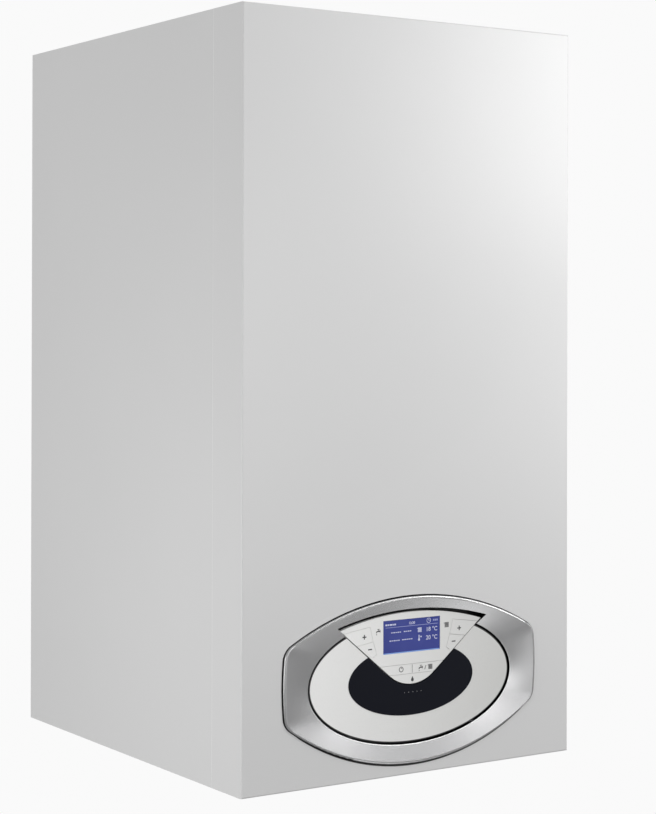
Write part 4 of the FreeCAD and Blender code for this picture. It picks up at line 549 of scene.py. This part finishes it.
def bar_outline(x, z, size, bar):
    """A rectangle given in shares of a sign's size."""
    across, up, width, height = (share * size for share in bar)
    return box_outline(x + across, z + up, width, height)


def tap_outlines(x, z, size):
    """A small tap with its spout and a falling drop."""
    made = [bar_outline(x, z, size, bar) for bar in TAP_BARS]
    across, up, outer, inner = (share * size for share in TAP_SPOUT)
    made.append(arc_outline(x + across, z + up, outer, inner, SPOUT_ARC, SMALL_STEPS))
    across, up, radius, rise = (share * size for share in TAP_DROP)
    made.append(drop_outline(x + across, z + up, radius, rise, SMALL_STEPS))
    return made


def radiator_outlines(x, z, size):
    """A small radiator of upright ribs with its valve."""
    pitch = size / RADIATOR_RIBS
    first = x - pitch * (RADIATOR_RIBS - 1) / 2
    made = [box_outline(first + pitch * i, z, pitch * RIB_SHARE, size) for i in range(RADIATOR_RIBS)]
    made.append(bar_outline(x, z, size, RADIATOR_VALVE))
    return made


def power_outlines(x, z, radius, line):
    """A broken ring with an upright stroke."""
    ring = arc_outline(x, z, radius, radius - line, POWER_ARC)
    stroke = box_outline(x, z + radius * POWER_STROKE_RISE, line, radius * POWER_STROKE_LENGTH)
    return [ring, stroke]


def plus_outlines(x, z):
    """A plus of one bar and two short strokes."""
    reach = PLUS_BAR / 4 + PLUS_LINE / 4
    stroke = PLUS_BAR / 2 - PLUS_LINE / 2
    return [
        box_outline(x, z, PLUS_BAR, PLUS_LINE),
        box_outline(x, z + reach, PLUS_LINE, stroke),
        box_outline(x, z - reach, PLUS_LINE, stroke),
    ]


def clock_outlines(x, z):
    """A round clock face with a hand that points up and one that points right."""
    outer, inner = 3.1, 2.5
    hand, up_length, right_length = 0.6, 2.0, 1.8
    past_middle = 0.1
    return [
        arc_outline(x, z, outer, inner, CLOCK_ARC),
        box_outline(x, z + up_length / 2 - past_middle, hand, up_length),
        box_outline(x + right_length / 2 - past_middle, z, right_length, hand),
    ]


def thermometer_outlines(x, z):
    """A thermometer with its bulb, and a spot beside it."""
    bulb_drop, bulb_radius = 2.2, 1.5
    stem_rise, stem_width, stem_height = 1.2, 1.3, 4.4
    spot_across, spot_radius = 3.0, 1.0
    return [
        disc_outline(x, z - bulb_drop, bulb_radius),
        box_outline(x, z + stem_rise, stem_width, stem_height),
        disc_outline(x + spot_across, z + stem_rise, spot_radius),
    ]


def divider_outline():
    """The line along the left edge of the mode key."""
    low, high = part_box("key_mode")
    tall = (high[2] - low[2]) / MM - DIVIDER_MARGIN
    middle = (low[2] + high[2]) / 2 / MM
    return box_outline(low[0] / MM + DIVIDER_WIDTH, middle, DIVIDER_WIDTH, tall)


def print_sign(name, body, outlines):
    """A dark sign on the keypad or on one of its keys."""
    printed(name, body, outlines, KEYPAD_FACE, "key_print")


def print_keypad():
    """The signs on the keypad, each on its own key or on the plate."""
    for side, (plus, minus) in STEP_SPOTS.items():
        print_sign(f"sign_{side}_up", f"key_{side}_up", plus_outlines(*plus))
        print_sign(f"sign_{side}_down", f"key_{side}_down", [box_outline(*minus, PLUS_BAR, PLUS_LINE)])
    print_sign("sign_power", "key_power", power_outlines(**POWER_SIGN))
    mode = tap_outlines(**MODE_TAP) + [MODE_SLASH] + radiator_outlines(**MODE_RADIATOR)
    print_sign("sign_mode", "key_mode", mode + [divider_outline()])
    print_sign("sign_tap", "chassis", tap_outlines(**TAP_SIGN))
    print_sign("sign_radiator", "chassis", radiator_outlines(**RADIATOR_SIGN))
    print_sign("sign_flame", "chassis", [drop_outline(**FLAME_SIGN)])


def print_lens():
    """The row of dots on the flap's lens."""
    spots = [DOT_FIRST + DOT_PITCH * i for i in range(DOT_COUNT)]
    dots = [disc_outline(x, DOT_LEVEL, DOT_RADIUS, SMALL_STEPS) for x in spots]
    printed("sign_dots", "flap", dots, LENS_FACE, "pale_print")


def window_spot(across, down):
    """A place on the display, from its upper left corner, in millimetres."""
    low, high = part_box("display_window")
    return low[0] / MM + across, high[2] / MM - down


def add_figures(name, text, across, down, height):
    """Raised figures on the display, placed by their lower left corner."""
    curve = bpy.data.curves.new(name, "FONT")
    curve.body = text
    curve.size = height * MM
    curve.extrude = PRINT_DEPTH * MM / 2
    curve.offset = FIGURE_WEIGHT * MM
    curve.resolution_u = FIGURE_RESOLUTION
    mesh = mesh_of(curve)
    x, z = window_spot(across, down)
    mesh.transform(Matrix.Rotation(math.pi / 2, 4, "X"))
    mesh.transform(Matrix.Translation((x * MM, (WINDOW_FACE - PRINT_DEPTH / 2) * MM, z * MM)))
    add_piece(name, mesh, "display_figures", "chassis")


def dashes(across, down, lengths, height, gap):
    """A row of small dashes on the display, from its start to the right."""
    made = []
    for length in lengths:
        x, z = window_spot(across + length / 2, down)
        made.append(box_outline(x, z, length, height))
        across += length + gap
    return made


def print_window(name, outlines, finish):
    """A lit print on the display."""
    printed(name, "chassis", outlines, WINDOW_FACE, finish)


def print_display():
    """The figures, signs and rules of the display."""
    for name, figures in DISPLAY_FIGURES.items():
        add_figures(name, *figures)
    rows = [dash for row in DISPLAY_ROWS for dash in dashes(*row)]
    print_window("display_rows", rows, "display_figures")
    signs = clock_outlines(*window_spot(*CLOCK_SPOT))
    signs += radiator_outlines(*window_spot(*DISPLAY_RADIATOR_SPOT), DISPLAY_RADIATOR_SIZE)
    signs += thermometer_outlines(*window_spot(*THERMOMETER_SPOT))
    print_window("display_signs", signs, "display_figures")
    print_window("display_rule", [box_outline(*window_spot(*RULE_SPOT), *RULE_SIZE)], "display_rule")
    print_window("display_faint", dashes(*FAINT_ROW), "display_rule")
    print_window("display_foot", [box_outline(*window_spot(*FOOT_SPOT), *FOOT_SIZE)], "display_foot")


def add_seam_bead(side, outer, inward):
    """A thin pale bead that fills the seam between a side panel and the cover; its pale colour paints a
    highlight along the seam.
    """
    low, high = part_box(f"side_panel_{side}")
    deep = SEAM_BEAD_DEPTH * MM
    wide = (SEAM_GAP - SEAM_BEAD_CLEARANCE * 2) * MM
    tall = high[2] - low[2] - deep * 2
    across = outer + (deep / 2 + SEAM_BEAD_CLEARANCE * MM) * inward
    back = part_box("front_cover")[1][1] + SEAM_GAP * MM / 2
    name = f"seam_bead_{side}"
    mesh = bpy.data.meshes.new(name)
    work = bmesh.new()
    bmesh.ops.create_cube(work, size=1.0)
    bmesh.ops.scale(work, verts=work.verts[:], vec=(deep, wide, tall))
    bmesh.ops.translate(work, verts=work.verts[:], vec=(across, back, (low[2] + high[2]) / 2))
    work.to_mesh(mesh)
    work.free()
    add_piece(name, mesh, "seam_bead", "chassis")


def add_seam_beads():
    """The beads in the left and the right seam, which paint highlights there."""
    add_seam_bead("left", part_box("side_panel_left")[0][0], 1)
    add_seam_bead("right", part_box("side_panel_right")[1][0], -1)


def add_panel_bead(name, middle, half_sizes, level, radius, arc, finish, body, slot):
    """A thin bead along an arc of the bezel or its opening in the cover, thinner towards its ends."""
    curve = bpy.data.curves.new(name, "CURVE")
    curve.dimensions = "3D"
    curve.bevel_depth = radius * MM
    curve.bevel_resolution = BEAD_RESOLUTION
    curve.use_fill_caps = True
    spline = curve.splines.new("POLY")
    spline.points.add(BEAD_STEPS)
    for i, point in enumerate(spline.points):
        share = i / BEAD_STEPS
        angle = math.radians(arc[0] + (arc[1] - arc[0]) * share)
        x = half_sizes[0] * math.cos(angle)
        z = middle + half_sizes[1] * math.sin(angle)
        point.co = (x * MM, level * MM, z * MM, 1.0)
        point.radius = BEAD_END + (1.0 - BEAD_END) * math.sin(math.pi * share)
    add_piece(name, mesh_of(curve), finish, body)


def add_camera():
    """The photograph's camera."""
    data = bpy.data.cameras.new("camera")
    data.sensor_width = SENSOR
    data.lens = FOCAL_PX * SENSOR / IMAGE_HEIGHT
    data.shift_x = (IMAGE_WIDTH / 2 - PRINCIPAL_PX[0]) / IMAGE_HEIGHT
    data.shift_y = (PRINCIPAL_PX[1] - IMAGE_HEIGHT / 2) / IMAGE_HEIGHT
    data.clip_end = CAMERA_REACH
    made = add_object("camera", data)
    flat = math.cos(CAMERA_PITCH)
    forward = Vector((math.sin(CAMERA_YAW) * flat, math.cos(CAMERA_YAW) * flat, math.sin(CAMERA_PITCH)))
    right = forward.cross(Vector((0.0, 0.0, 1.0))).normalized()
    up = right.cross(forward)
    turn = Matrix((right, up, -forward)).transposed()
    roll = Matrix.Rotation(CAMERA_ROLL, 3, "Z")
    made.matrix_world = Matrix.Translation(CAMERA_SPOT) @ (turn @ roll).to_4x4()
    bpy.context.scene.camera = made


def add_lamp(name, spot, target, size, power, lights):
    """A soft rectangular lamp that looks at a target, or a strip that shows in glossy faces alone."""
    data = bpy.data.lights.new(name, "AREA")
    data.shape = "RECTANGLE"
    data.size, data.size_y = size
    data.energy = power
    made = add_object(name, data)
    made.location = spot
    made.rotation_euler = (Vector(target) - Vector(spot)).to_track_quat("-Z", "Y").to_euler()
    made.visible_diffuse = lights


def backdrop_rays(tree):
    """One for the rays that show the backdrop, and nought for those that light the boiler."""
    path = tree.nodes.new("ShaderNodeLightPath")
    seen = path.outputs[BACKDROP_RAYS[0]]
    for kind in BACKDROP_RAYS[1:]:
        seen = add_larger(tree, seen, path.outputs[kind])
    return seen


def floor_material():
    """A pale matt floor that throws little light back up."""
    made, tree, shader = start_material("floor")
    tone = add_ramp(tree, backdrop_rays(tree), FLOOR_BOUNCE, FLOOR_SEEN)
    tree.links.new(tone, shader.inputs["Base Color"])
    shader.inputs["Roughness"].default_value = FLOOR_ROUGHNESS
    return made


def add_stage():
    """A floor well below the hung boiler."""
    mesh = bpy.data.meshes.new("floor")
    corners = [
        (FLOOR_LEFT, FLOOR_FRONT, FLOOR_LEVEL),
        (FLOOR_RIGHT, FLOOR_FRONT, FLOOR_LEVEL),
        (FLOOR_RIGHT, FLOOR_BACK, FLOOR_LEVEL),
        (FLOOR_LEFT, FLOOR_BACK, FLOOR_LEVEL),
    ]
    mesh.from_pydata(corners, [], [(0, 1, 2, 3)])
    mesh.materials.append(floor_material())
    add_object("floor", mesh)


def add_world():
    """Soft light from all round, brightest from the upper left, and a pale backdrop."""
    world = bpy.data.worlds.new("studio")
    bpy.context.scene.world = world
    world.use_nodes = True
    tree = world.node_tree
    tree.nodes.clear()
    coords = tree.nodes.new("ShaderNodeTexCoord")
    along = tree.nodes.new("ShaderNodeVectorMath")
    along.operation = "DOT_PRODUCT"
    along.inputs[1].default_value = SKY_AXIS
    tree.links.new(coords.outputs["Generated"], along.inputs[0])
    light = tree.nodes.new("ShaderNodeBackground")
    light.inputs["Strength"].default_value = WORLD_LIGHT
    tone = add_span(tree, along.outputs["Value"], SKY_SPAN, SKY_TONES)
    tree.links.new(tone, light.inputs["Color"])
    backdrop = tree.nodes.new("ShaderNodeBackground")
    backdrop.inputs["Color"].default_value = (*BACKDROP, 1.0)
    mix = tree.nodes.new("ShaderNodeMixShader")
    out = tree.nodes.new("ShaderNodeOutputWorld")
    tree.links.new(backdrop_rays(tree), mix.inputs["Fac"])
    tree.links.new(light.outputs["Background"], mix.inputs[1])
    tree.links.new(backdrop.outputs["Background"], mix.inputs[2])
    tree.links.new(mix.outputs["Shader"], out.inputs["Surface"])


dress_nodes()
round_edges()
add_seam_beads()
for bead, shape in PANEL_BEADS.items():
    add_panel_bead(bead, **shape)
print_keypad()
print_lens()
print_display()
add_camera()
for lamp, setting in LAMPS.items():
    add_lamp(lamp, *setting)
add_stage()
add_world()
bpy.context.scene.view_settings.view_transform = "Standard"
